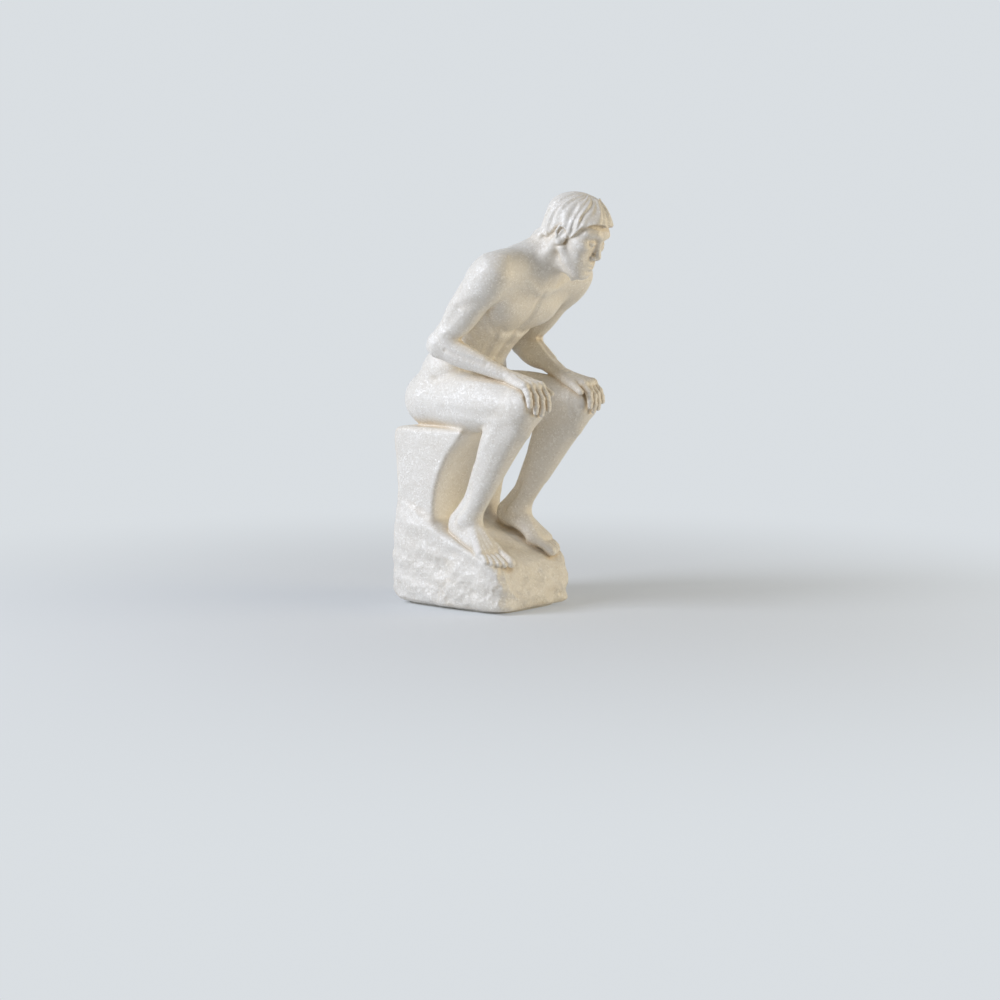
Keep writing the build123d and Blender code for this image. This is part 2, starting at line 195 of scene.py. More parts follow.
def elbow(side):
    line = wrist(side) - shoulder(side)
    reach = np.linalg.norm(line)
    along = (upper_arm_length**2 - forearm_length**2 + reach**2) / (2 * reach)
    pole = square_to(BACK + ACROSS * side * elbow_out, line / reach)
    return shoulder(side) + line / reach * along + pole * sqrt(upper_arm_length**2 - along**2)


def hip_joint(side):
    return between(hip(side), knee(side), hip_cut_share)


def shoulder_joint(side):
    return between(collar, shoulder(side), shoulder_cut_share)


# Clay: signed distances at a cloud of points, negative inside

def smooth_min(a, b, blend):
    h = np.clip(1 - np.abs(a - b) / blend, 0, 1)
    return np.minimum(a, b) - h * h * blend / 4


def smooth_max(a, b, blend):
    return -smooth_min(-a, -b, blend)


def to_segment(points, a, b):
    """Each point's offset from the nearest point of a line, and how far along the line that is."""
    line = b - a
    share = np.clip(((points - a) @ line) / (line @ line), 0, 1)
    return points - a - share[:, None] * line, share


def length_of(vectors):
    return np.sqrt(np.einsum("ij,ij->i", vectors, vectors))


def chain(path, radii):
    """A rounded bar through a path, with a radius at each of its points."""
    path = np.asarray(path, float)
    radii = np.broadcast_to(np.asarray(radii, float), len(path))

    def distance(points):
        found = None
        for i in range(len(path) - 1):
            offset, share = to_segment(points, path[i], path[i + 1])
            d = length_of(offset) - between(radii[i], radii[i + 1], share)
            found = d if found is None else np.minimum(found, d)
        return found

    return path.min(0) - radii.max(), path.max(0) + radii.max(), distance


def lump(centre, axes, radii):
    """An egg with three half sizes along three square axes."""
    axes, radii = np.asarray(axes, float), np.asarray(radii, float)
    reach = np.sqrt(((axes * radii[:, None]) ** 2).sum(0))

    def distance(points):
        place = (points - centre) @ axes.T / radii
        near = length_of(place)
        return near * (near - 1) / np.maximum(length_of(place / radii), 1e-6)

    return centre - reach, centre + reach, distance


class Clay:
    def __init__(self, points):
        self.points = points
        self.columns = [np.ascontiguousarray(points[:, i]) for i in range(3)]
        self.depth = np.full(len(points), FAR, np.float32)

    def within(self, low, high):
        inside = np.ones(len(self.points), bool)
        for column, least, most in zip(self.columns, low, high):
            inside &= (column > least) & (column < most)
        return np.flatnonzero(inside)

    def add(self, form, blend=1.0):
        low, high, distance = form
        near = self.within(low - blend - 4, high + blend + 4)
        if len(near):
            self.depth[near] = smooth_min(self.depth[near], distance(self.points[near]), blend)

    def carve(self, form, blend=1.0):
        low, high, distance = form
        near = self.within(low - blend, high + blend)
        if len(near):
            self.depth[near] = smooth_max(self.depth[near], -distance(self.points[near]), blend)

    def bar(self, path, radii, blend):
        self.add(chain(path, radii), blend)

    def egg(self, centre, axes, radii, blend):
        self.add(lump(centre, axes, radii), blend)

    def stroke(self, path, width, height, facing):
        """Raises a soft ridge along a path, or with a negative height presses a groove."""
        path, facing = np.asarray(path, float), unit(facing)
        reach = width * (1 + np.abs(facing) * 1.5)
        near = self.within(path.min(0) - reach, path.max(0) + reach)
        if not len(near):
            return
        points, least = self.points[near], None
        for a, b in zip(path, path[1:]):
            offset, share = to_segment(points, a, b)
            outward = offset @ facing
            d = np.einsum("ij,ij->i", offset, offset) - 0.85 * outward * outward
            least = d if least is None else np.minimum(least, d)
        self.depth[near] -= height * np.clip(1 - least / width**2, 0, 1) ** 2


def smooth_table(shares, values, steps=96):
    """A smooth curve through a table, as many close pairs."""
    x, y = np.asarray(shares, float), np.asarray(values, float)
    slopes = np.gradient(y, x)
    at = np.linspace(x[0], x[-1], steps)
    i = np.clip(np.searchsorted(x, at) - 1, 0, len(x) - 2)
    h = x[i + 1] - x[i]
    t = (at - x[i]) / h
    curve = ((1 + 2 * t) * (1 - t) ** 2 * y[i] + t * (1 - t) ** 2 * h * slopes[i]
             + t * t * (3 - 2 * t) * y[i + 1] + t * t * (t - 1) * h * slopes[i + 1])
    return at, curve


class Limb:
    """A tube of ovals along a line. Angle 0 is its front, 90 its outer side, 180 its back."""

    def __init__(self, start, end, front, outer, shares, widths, depths, setbacks=None, squareness=2.0):
        self.start, self.length = start, np.linalg.norm(end - start)
        self.along = (end - start) / self.length
        self.front = square_to(front, self.along)
        self.outer = unit(np.cross(self.front, self.along))
        if self.outer @ outer < 0:
            self.outer = -self.outer
        self.axes = (self.outer, self.front, self.along)
        self.squareness = squareness
        rows = (widths, depths, setbacks or [0.0] * len(shares))
        self.tables = [smooth_table(shares, row) for row in rows]

    def sizes(self, share):
        return [np.interp(share, at, row) for at, row in self.tables]

    def outward(self, angle):
        return self.front * cos(radians(angle)) + self.outer * sin(radians(angle))

    def skin(self, angle, share):
        """A point of the surface."""
        width, depth, setback = self.sizes(share)
        across, ahead = sin(radians(angle)), cos(radians(angle))
        power = self.squareness
        reach = ((abs(across) / width) ** power + (abs(ahead) / depth) ** power) ** (-1 / power)
        return self.core(share) + self.outward(angle) * reach

    def core(self, share):
        return self.start + self.along * self.length * share - self.front * self.sizes(share)[2]

    def at(self, share, out=0.0, ahead=0.0):
        """A point beside the middle line."""
        return self.core(share) + self.outer * out + self.front * ahead

    def form(self):
        shares = self.tables[0][0]
        least, most = shares[0], shares[-1]
        reach = max(row.max() for at, row in self.tables[:2])
        ends = np.array([self.core(share) for share in np.linspace(least, most, 9)])

        def distance(points):
            place = points - self.start
            share = place @ self.along / self.length
            held = np.clip(share, least, most)
            width, depth, setback = self.sizes(held)
            u, v = place @ self.outer, place @ self.front + setback
            power = self.squareness
            ring = (np.abs(u / width) ** power + np.abs(v / depth) ** power) ** (1 / power)
            d = np.hypot(u, v) * (1 - 1 / np.maximum(ring, 1e-4))
            past = np.abs(share - held) * self.length
            return np.where(past > 0, np.hypot(np.maximum(d, 0), past) + np.minimum(d, 0), d)

        return ends.min(0) - reach, ends.max(0) + reach, distance


def work(clay, rows, at, axes, facing=None):
    """Models a table, whose places at() makes points. A row is an egg at one place, or a rounded bar along
    a path, with radii and a blend, or a stroke along a path, with a width and a height."""
    for place, size, last in rows:
        if isinstance(place, tuple):
            clay.egg(at(*place), axes, size, last)
        elif isinstance(size, tuple):
            clay.bar([at(*corner) for corner in place], size, last)
        else:
            clay.stroke([at(*corner) for corner in place], size, last, facing)


def rake(clay, rows, limb):
    """Strokes over a limb's surface, along (angle, share) places."""
    for path, width, height in rows:
        facing = sum(limb.outward(angle) for angle, share in path)
        clay.stroke([limb.skin(angle, share) for angle, share in path], width, height, facing)


# Noise for the boulder and the hair

SKEW = np.array(((0.36, 0.48, -0.8), (-0.8, 0.6, 0), (0.48, 0.64, 0.6)))


def noise(points, size, seed):
    """Smooth noise from -1 to 1, with features about as large as size."""
    table = np.random.default_rng(seed).uniform(-1, 1, 4096).astype(np.float32)
    place = points @ SKEW / size + 512
    corner = np.floor(place).astype(np.int64)
    t = place - corner
    t = t * t * (3 - 2 * t)
    total = np.zeros(len(points))
    for dx in (0, 1):
        for dy in (0, 1):
            for dz in (0, 1):
                key = (corner[:, 0] + dx) * 73 + (corner[:, 1] + dy) * 1979 + (corner[:, 2] + dz) * 4517
                weight = np.abs(1 - dx - t[:, 0]) * np.abs(1 - dy - t[:, 1]) * np.abs(1 - dz - t[:, 2])
                total += weight * table[key % 4096]
    return total


# The figure's limbs

def trunk_limb(side=1):
    shares = (-0.08, 0.08, 0.24, 0.42, 0.62, 0.82, 0.95)
    return Limb(pelvis_centre, collar, -trunk_back, ACROSS * side, shares,
                (24, 28, 26.2, 23.6, 27.4, 29.6, 26), (16, 18, 16.6, 15.4, 17.8, 18.2, 14),
                [trunk_bow * sin(pi * share) for share in shares], squareness=2.25)


def thigh_limb(side):
    return Limb(hip(side), knee(side), UP, ACROSS * side, (0, 0.3, 0.6, 0.85, 1),
                (16.6, 16.2, 14.6, 12.2, 11), (16.8, 16.4, 14.8, 12.2, 11.2))


def shin_limb(side):
    return Limb(knee(side), ankle(side), -BACK, ACROSS * side, (0, 0.14, 0.34, 0.6, 0.84, 1),
                (10.6, 10, 10.3, 8.2, 6, 5.9), (11, 11.2, 11, 9, 6.8, 6.2),
                (0, 0.4, 2, 1.4, 0.4, 0))


def upper_arm_limb(side):
    return Limb(shoulder(side), elbow(side), -BACK, ACROSS * side, (0, 0.12, 0.3, 0.62, 0.86, 1),
                (8.2, 9.6, 8.8, 7.4, 6.8, 6.6), (8.6, 10.2, 9.4, 8.2, 7.2, 6.6))


def forearm_limb(side):
    return Limb(elbow(side), wrist(side), UP, ACROSS * side, (0, 0.24, 0.62, 1),
                (6.6, 7.4, 5.9, 5), (6.6, 7, 5.1, 3.7))


def trunk_at(across, back, along):
    """A point beside the trunk's bowed line."""
    bow = trunk_bow * sin(pi * along / trunk_length)
    return pelvis_centre + ACROSS * across + trunk_back * (back + bow) + trunk_axis * along


# What is modelled on the limbs, in rows for work() and rake()

flank_masses = (
    ((20.5, -1, 19), (8.5, 13.5, 12), 6),
    # The broad muscle from waist to armpit, and the shoulder blade
    ([(11, 9, 44), (20, 7, 60), (25.5, 3, 77)], (6, 8, 7.6), 8),
    ((16.5, 10.5, 77), (10.5, 5.8, 13.5), 7),
)
column_masses = (
    ([(6, 8.5, 98), (9, 9, 84), (5, 9, 62)], (7, 6, 4), 7),
    # Chest
    ((12.5, -10.5, 76), (13.5, 9, 12), 6),
    ([(18, -10, 78), (29, -6, 88)], (6.5, 7), 8),
    # Lower back, beside the spine, and the belly's two columns
    ([(6.5, 10.5, 6), (6.2, 9.8, 26), (6.5, 8.6, 50)], (7, 6.4, 6), 6),
    ([(5.6, -9.6, 20), (5.8, -9.2, 40), (6.4, -10.6, 58)], (6.4, 6.2, 6), 5),
)
rib_shares = [0.42 + 0.075 * i for i in range(4)]
trunk_rakes = (
    # Back
    ([(172, 0.72), (168, 0.84), (164, 0.93)], 4, 0.5),
    ([(150, 0.63), (140, 0.7), (124, 0.76)], 5.4, 0.7),
    ([(158, 0.92), (132, 0.95), (108, 0.99)], 4.6, 0.6),
    ([(150, 0.56), (128, 0.62), (106, 0.74)], 4.4, -0.5),
    ([(166, 0.46), (172, 0.6), (176, 0.7)], 4.4, -0.7),
    # Ribs
    *[([(56 + 3 * i, low), (76, low + 0.05), (98, low + 0.1)], 3.2, 0.35)
      for i, low in enumerate(rib_shares)],
    # Chest's lower edge, belly, groin and the crest of the hip
    ([(40, 0.6), (60, 0.66), (78, 0.78)], 3.2, -0.8),
    ([(7, 0.63), (26, 0.615), (44, 0.66)], 3.4, -0.9),
    ([(28, 0.2), (34, 0.38), (38, 0.56)], 3.6, -0.7),
    ([(30, 0.02), (52, 0.1), (82, 0.17), (120, 0.17)], 3.6, -1.1),
    ([(124, 0.15), (146, 0.1), (166, 0.06)], 4, 0.7),
    ([(164, 0.1), (162, 0.12)], 3.6, -0.6),
)
# The collar bone and the hollow over it
collar_strokes = (
    ([(2.6, -14.5, 90), (14, -12.5, 95.5), (30, -4, 101)], 2.6, 0.9),
    ([(8, -10.5, 97), (17, -8, 100)], 4, -1),
)
# The furrow of the spine, the breastbone, the belly's lines and the navel
midline_rakes = (
    ([(180, 0.04), (180, 0.3), (180, 0.62), (180, 0.84)], 5.6, -1.1),
    ([(0, 0.66), (0, 0.8), (0, 0.93)], 4, -0.8),
    ([(0, 0.2), (0, 0.4), (0, 0.6)], 3.2, -0.6),
    *[([(-26, share), (0, share - 0.01), (26, share)], 3.2, -0.32) for share in (0.33, 0.43, 0.53)],
    ([(0, 0.27), (0, 0.285)], 1.7, -1.2),
)


def model_trunk(clay):
    clay.add(trunk_limb().form())
    for side in SIDES:
        def at(across, back, along):
            return trunk_at(side * across, back, along)

        axes = (ACROSS, trunk_back, trunk_axis)
        clay.egg(hip(side) + BACK * 2 + UP * 0.4, (ACROSS, BACK, UP), (17.2, 17.4, 17), 5)
        work(clay, flank_masses, at, axes)
        # The slope up to the neck
        nape = neck_root + trunk_back * 2 + neck_axis * 9 + ACROSS * side * 3
        clay.bar([nape, at(12, 2, 101), at(26, 0, 95)], (8.4, 8.8, 7.2), 12)
        work(clay, column_masses, at, axes)
        rake(clay, trunk_rakes, trunk_limb(side))
        work(clay, collar_strokes, at, axes, trunk_axis - trunk_back)
    # The shoulders' cross bar
    clay.bar([shoulder_joint(-1), collar + trunk_axis, shoulder_joint(1)], (9.4, 11, 9.4), 11)
    rake(clay, midline_rakes, trunk_limb())
    # The cleft of the seat
    low = pelvis_centre + BACK * 19 - UP * 14
    clay.stroke([trunk_at(0, 18, 6), pelvis_centre + BACK * 19.5 - UP * 3, low], 5.4, -1, BACK)
    clay.stroke([pelvis_centre + BACK * 19.5, low], 4.4, -1.7, BACK)


thigh_masses = (
    ((0.5, 0, 3), (9.5, 12, 32), 9),
    ((0.52, 4.6, -1), (10.4, 12, 32), 9),
    ((0.8, -5.2, 2.6), (6.6, 7.4, 13), 4),
    ((0.44, 0, -5), (9.8, 10, 28), 5),
)
thigh_rakes = (
    ([(104, 0.3), (106, 0.56), (110, 0.86)], 4.4, -0.5),
    ([(-60, 0.4), (-44, 0.62), (-26, 0.84)], 4, -0.4),
    ([(34, 0.42), (28, 0.66), (18, 0.86)], 3.6, -0.35),
    ([(128, 0.7), (126, 0.96)], 3.4, 0.5),
)
calf_masses = (
    ((0.31, -3, -4.4), (6.8, 7.2, 18.5), 5),
    ((0.28, 3.6, -4.2), (6.6, 6.9, 17.5), 5),
    ((0.5, 0, -2.2), (6.8, 5.6, 19), 5),
)
shin_rakes = (
    ([(180, 0.1), (180, 0.3), (180, 0.46)], 2.8, -0.7),
    ([(38, 0.12), (34, 0.36), (24, 0.66)], 5, 0.4),
    ([(4, 0.16), (-2, 0.5), (-8, 0.86)], 3.4, 0.25),
    ([(-46, 0.24), (-46, 0.5), (-50, 0.76)], 5, -0.3),
    ([(84, 0.2), (90, 0.44), (96, 0.7)], 4.2, -0.3),
    ([(-128, 0.42), (-122, 0.62)], 3, -0.5),
)


def model_leg(clay, side):
    upper, lower = thigh_limb(side), shin_limb(side)
    ahead, out = upper.along, upper.outer
    clay.add(upper.form())
    work(clay, thigh_masses, upper.at, upper.axes)
    rake(clay, thigh_rakes, upper)
    # Knee
    facing = unit(ahead * 0.86 + upper.front * 0.5)
    middle = knee(side)
    for way in (-out, out):
        clay.egg(middle + way * 5 + ahead * 1.6, (out, ahead, UP), (6.4, 9, 9.6), 4.5)
    clay.egg(middle + facing * 8.6, (out, facing, np.cross(out, facing)), (4.8, 3, 5.4), 2.5)
    shelf = middle + lower.along * 13 + lower.front * 8
    clay.bar([middle + facing * 8.4 - UP * 3.4, shelf], (2.8, 2.5), 3)
    for way in (out, -out):
        dent = [middle + facing * 9 + way * 5.6, middle + facing * 8 - UP * 6 + way * 5.4]
        clay.stroke(dent, 3, -0.8, facing)
    # Shin and calf
    clay.add(lower.form(), 4)
    work(clay, calf_masses, lower.at, lower.axes)
    rake(clay, shin_rakes, lower)
    model_foot(clay, side, lower)


foot_masses = (
    ((-5.4, 0, 6.4), (7, 6.3, 7.4), 3.5),
    ([(1, 0.4, 10.5), (10, 1.2, 8.6), (19, 2, 5.6)], (6, 4.8, 3.4), 4),
    ((8, -3, 3.4), (15, 4.4, 4.6), 4),
    ((20.5, -0.6, 2.6), (6.6, 7.6, 3.8), 3),
    ((21, 6, 3.4), (5.8, 3.6, 3.6), 2.8),
    ([(-1, 3, 5.2), (9, 4.6, 5.2), (18, 5.6, 3.8)], (3.8, 3.2, 3.2), 3.5),
)
heel_rakes = [([(angle, share) for share in (0.78, 0.94, 1.04)], 3.4, -0.9) for angle in (-127, 127)]
# Toes, from the big one: place, radius, reach and how high the middle joint stands
toes = ((6.2, 3, 35, 0.5), (1.5, 2.1, 34.6, 1.1), (-2.1, 1.95, 33.4, 1.1), (-5.3, 1.85, 31.6, 1.1),
        (-8.1, 1.8, 29.2, 1.1))


def model_foot(clay, side, lower):
    ahead, medial, upward = foot_direction(side), foot_inward(side), foot_upward(side)
    axes = (ahead, medial, upward)

    def at(forward, inward, up):
        return on_sole(side) + ahead * forward + medial * inward + upward * up

    # Ankle, its two bones and the heel's tendon
    clay.egg(ankle(side), lower.axes, (6.3, 7.2, 8), 4)
    clay.egg(ankle(side) + medial * 4.6 + lower.front * 0.6, axes, (3.2, 2.5, 3.4), 1.8)
    clay.egg(ankle(side) - medial * 4.7 - lower.front * 1.4 - UP * 1.4, axes, (2.9, 2.3, 3.6), 1.8)
    tendon = [lower.at(0.6, 0, -5.4), lower.at(0.86, 0, -5.4), at(-8, 0, 9.5)]
    clay.bar(tendon, (3.4, 2.8, 3.8), 4.5)
    work(clay, foot_masses, at, axes)
    for place, radius, reach, rise in toes:
        clay.bar([at(8, place * 0.35, 8.4), at(22.5, place * 0.96, 3.6)], (2.6, 2.2), 2.4)
        bend = at(between(24, reach, 0.5), place, radius + rise)
        toe = [at(22.5, place, radius + 0.6), bend, at(reach, place - 0.2, radius * 0.95)]
        clay.bar(toe, (radius * 0.96, radius * 0.86, radius), 0.9)
        nail = at(reach + radius * 0.35, place, radius * 1.75)
        clay.stroke([nail - ahead * 0.5, nail + ahead * 0.6], radius * 0.62, -0.28, upward)
        sinew = [at(5, place * 0.3, 12), at(14, place * 0.6, 9), at(23, place, 5.5)]
        clay.stroke(sinew, 1.7, 0.35, upward)
    clay.stroke([at(4, 9, 2), at(15, 9, 1.5)], 5, -1, medial)
    # The hollows beside the heel's tendon
    rake(clay, heel_rakes, lower)


upper_arm_masses = (
    ((0.17, 1), (10.2, 11.8, 17), 6),
    ([(0.12, 3), (0.4, 3.6)], (7.6, 4.4), 4),
    ((0.55, -0.8, 3.3), (5.8, 6.3, 17), 3.5),
    ((0.46, 2.6, -3.2), (5.6, 6.2, 17), 3.5),
    ((0.48, -2.6, -3.6), (5.4, 6.2, 19), 3.5),
)
upper_arm_rakes = (
    ([(30, 0.3), (62, 0.42), (90, 0.48), (118, 0.42), (148, 0.28)], 4, -0.55),
    ([(80, 0.5), (87, 0.7), (96, 0.92)], 3.8, -0.45),
    ([(-84, 0.3), (-80, 0.6), (-70, 0.9)], 3.2, -0.5),
    ([(176, 0.66), (178, 0.9)], 3.2, -0.6),
)
forearm_rakes = (
    ([(88, 0.16), (84, 0.4), (70, 0.66)], 2.2, -0.6),
    ([(20, 0.2), (10, 0.5), (4, 0.8)], 2.4, -0.45),
)


def model_arm(clay, side):
    upper, lower = upper_arm_limb(side), forearm_limb(side)
    clay.add(upper.form())
    clay.bar([shoulder_joint(side), shoulder(side) - UP * 1.5], (9.4, 9), 7)
    work(clay, upper_arm_masses, upper.at, upper.axes)
    rake(clay, upper_arm_rakes, upper)
    # Elbow
    tip = elbow(side) + unit(upper.along - lower.along) * 4.6
    clay.egg(elbow(side), upper.axes, (6.4, 6.6, 6.8), 3.5)
    clay.bar([tip, tip + lower.along * 6], (3, 2.4), 2.5)
    clay.egg(elbow(side) - upper.outer * 5, upper.axes, (2.8, 2.9, 3.2), 2.2)
    # Forearm, with the muscle over the elbow
    clay.add(lower.form(), 3.5)
    muscle = [upper.at(0.84, 3.4, 1.6), lower.at(0.2, 3, 2.8), lower.at(0.58, 2, 2.2)]
    clay.bar(muscle, (3.4, 4.6, 2.6), 3)
    clay.egg(lower.at(0.28, -2.8, -1.8), lower.axes, (4.8, 5, 14), 3)
    rake(clay, forearm_rakes, lower)
    clay.egg(lower.at(0.94, 3.5, 0.9), upper.axes, (2, 2, 2.3), 1.5)
    model_hand(clay, side)


palm_length = 16.5
knuckle_reach = 14.2
finger_reach = 13.2
finger_lengths = (14.2, 16.4, 15.4, 12.2)
finger_bone_shares = (0.46, 0.3, 0.24)
finger_pitch = 4.25
finger_droop = 2.2


def model_hand(clay, side):
    """A relaxed hand over the knee. Its index finger is on the inner side."""
    forward = heading(0, side * thigh_splay)
    medial = np.cross(forward, UP) * side
    wrist_reach = knee_radius + wrist_half_depth + wrist_lift
    knuckle_angle = wrist_drape_angle + degrees(2 * asin(palm_length / (wrist_reach + knuckle_reach)))
    start, knuckles = wrist(side), over_knee(side, knuckle_angle, knuckle_reach)
    along = unit(knuckles - start)
    raised = unit(np.cross(medial, along))
    raised = raised if raised @ UP > 0 else -raised
    axes, level = (medial, along, raised), (medial, forward, UP)
    clay.egg(between(start, knuckles, 0.2), axes, (5.8, 5.6, 3.5), 2.5)
    clay.egg(between(start, knuckles, 0.6) - raised * 0.4, axes, (7.4, 8, 3), 2.5)
    for i, length in enumerate(finger_lengths):
        row = place = finger_pitch * (1.5 - i)
        spread = place * 0.16
        angle = knuckle_angle - abs(i - 1) * finger_droop
        bones = [over_knee(side, angle, finger_reach + 0.5) + medial * place]
        for share, lift in zip(finger_bone_shares, (0.35, 0, 0)):
            angle += degrees(2 * asin(length * share / 2 / finger_reach))
            place += spread / 3
            bones.append(over_knee(side, angle, finger_reach + lift - 0.1) + medial * place)
        clay.bar([start + medial * row * 0.42, bones[0] + raised * 0.2], (2.7, 2.35), 1.8)
        clay.egg(bones[0] + raised * 0.5, axes, (2.15, 2.5, 2.1), 1.2)
        clay.bar(bones, (2.1, 2, 1.8, 1.55), 0.5)
        for joint, radius in zip(bones[1:3], (2.1, 1.9)):
            clay.egg(joint, level, (radius, radius, radius), 0.5)
        sinew = [start + medial * row * 0.4 + raised * 3, bones[0] + raised * 2.2]
        clay.stroke(sinew, 1.3, 0.35, raised)
        nail = bones[-1] + forward * 1.5 + UP * 0.5
        clay.stroke([nail, nail - UP * 1.1], 1.1, -0.22, forward)
    # Thumb
    root = between(start, knuckles, 0.22) + medial * 5 - raised * 0.6
    aim = unit(forward * 0.8 + medial * 0.5 - UP * 0.3)
    middle = root + aim * 8.6
    bend = unit(aim + forward * 0.25 - UP * 0.3)
    clay.bar([root, middle, middle + bend * 4.8, middle + bend * 8.6], (3.2, 2.5, 2.15, 1.8), 1.6)
    clay.egg(middle, level, (2.5, 2.5, 2.5), 0.8)


def on_head(across, forward, up):
    return head_centre + head_side * across + head_forward * forward + head_up * up


head_axes = (head_side, head_forward, head_up)
# The hair's lower edge round the head: degrees from the front, height, and thickness over it
hair_turns = (0, 24, 42, 54, 60, 66, 76, 84, 96, 110, 128, 150, 180)
hair_edges = (11.6, 11.2, 9.4, 6.4, 2, -1.6, -1, 2.2, 2.4, 0.5, -5, -9, -10.5)
hair_thicknesses = (3.1, 3, 2.5, 1.9, 1.4, 1.2, 1.2, 1.2, 1.3, 1.8, 2.4, 2.6, 2.6)
hair_reach = 28


def hair_form(depth, points):
    """A close cap over what is already modelled, above the hair's edge."""
    place = (points - head_centre) @ np.array(head_axes).T
    turn = np.arctan2(place[:, 0], place[:, 1] + 2)
    spread = np.hypot(place[:, 0], place[:, 1] + 2) / 14
    sway = noise(points, 10, 21)
    locks = np.sin(turn * 11 + 3 * sway + place[:, 2] * 0.12) * 0.4
    locks += np.sin(turn * 25 + 4 * sway - place[:, 2] * 0.2) * 0.28
    locks *= np.clip(spread, 0, 1)
    angle = np.degrees(np.abs(turn))
    edge = np.interp(angle, hair_turns, hair_edges) + locks * 1.2
    thickness = np.interp(angle, hair_turns, hair_thicknesses)
    thickness += (2.4 - thickness) * np.clip((place[:, 2] - 12) / 9, 0, 1)
    shell = smooth_max(depth - thickness - locks, (edge - place[:, 2]) * 0.8, 1.6)
    return np.maximum(shell, length_of(place) - hair_reach)


# The face from top to bottom: heights, half widths, and where its front and back lie
face_heights = (8, 0, -4, -9, -14, -17.6, -20)
face_widths = (12.8, 12.9, 12.4, 11.4, 9.6, 7.2, 5.4)
face_fronts = (15.8, 14.8, 14.8, 15, 14.9, 14.3, 12.8)
face_backs = (-6, -4, -2, 0, 2, 3.4, 4.6)
jaw_masses = (([(11.4, 1, -9), (9.4, 6, -14), (4.2, 11.8, -18.6)], (2.6, 2.8, 2.8), 3),)
brow_masses = (
    ([(2, 14.6, 4.6), (6, 14.2, 5.2), (10.4, 10.8, 4.2)], (2.1, 2.2, 1.9), 2.5),
    ((9.3, 9.8, -2.8), (3.9, 4.6, 3), 3.5),
)
socket_place, socket_radii = (5.8, 17.3, 0.2), (4.2, 3.3, 2.9)
# Eye, brow, the wing of the nose and the fold beside it
eye_rows = (
    ((5.7, 12.3, -0.2), (3.6, 3.3, 3), 0.9),
    ([(3, 14.8, -1.2), (5.8, 15.8, -1.9), (8.8, 14, -1.1)], 0.9, -0.42),
    ([(3.2, 14.6, 1.2), (5.9, 15.4, 2), (8.9, 13.6, 1.1)], 1.1, -0.3),
    ([(2.4, 16.8, 4.6), (6.5, 16.4, 6.2), (11, 12.6, 4.6)], 1.7, 0.3),
    ((2.2, 16.2, -7.9), (1.5, 1.8, 1.35), 0.9),
    ([(3.4, 15.6, -8.4), (5.2, 14.4, -12)], 1.8, -0.3),
)
nostril = [(1, 17.6, -9.2), (1.8, 16.4, -9.2)]
# Temple and ear
ear_rows = (
    ([(12.4, 8, 6), (12.8, 6, 2)], 4, -0.6),
    ((13.3, -1.8, -1.6), (1.6, 3, 5), 0.9),
    ([(13.9, 1.3, -0.4), (14.4, 0.6, 2.2), (14.9, -1.6, 3.4), (15.2, -4, 2.4), (15.1, -4.9, -0.6),
      (14.6, -3.6, -4)], (0.7, 0.85, 0.9, 0.9, 0.8, 0.7), 0.6),
    ([(15.2, -0.6, 0.6), (15.2, -1.4, -2.4)], 1.7, -0.7),
    ([(15.2, -3, 2.2), (15.2, -3.8, -1.4)], 0.9, -0.4),
    ((13.9, -1.6, -5.9), (1.2, 1.6, 1.7), 0.8),
    ((13.8, 1.3, -1.6), (0.9, 0.8, 1.1), 0.6),
)
# Nose, mouth, lips and chin
middle_rows = (
    ([(0, 14.6, 3.4), (0, 16, -2.2), (0, 17.7, -6.4)], (1.5, 1.6, 1.9), 1.7),
    ((0, 12.2, -12.8), (5.4, 4.2, 4.2), 3),
    ([(-3.8, 14.6, -12.9), (-1.2, 16.1, -12.1), (0, 16.1, -12.5), (1.2, 16.1, -12.1), (3.8, 14.6, -12.9)],
     (0.5, 0.9, 0.85, 0.9, 0.5), 0.7),
    ([(-3.2, 14.7, -13.8), (0, 15.9, -14.4), (3.2, 14.7, -13.8)], (0.6, 1.05, 0.6), 0.7),
    ([(-4, 14.8, -13), (0, 16.9, -13.3), (4, 14.8, -13)], 0.8, -0.5),
    ([(-2.5, 14.9, -16.3), (0, 15.4, -16.6), (2.5, 14.9, -16.3)], 1.9, -0.6),
    ([(0, 16.4, -9.8), (0, 16.7, -11.3)], 0.9, -0.25),
    ((0, 12.4, -18.5), (4.2, 3.2, 3.4), 2.5),
)
ear_tilt = (unit(head_forward * 0.96 + head_up * 0.28), unit(head_up * 0.96 - head_forward * 0.28))


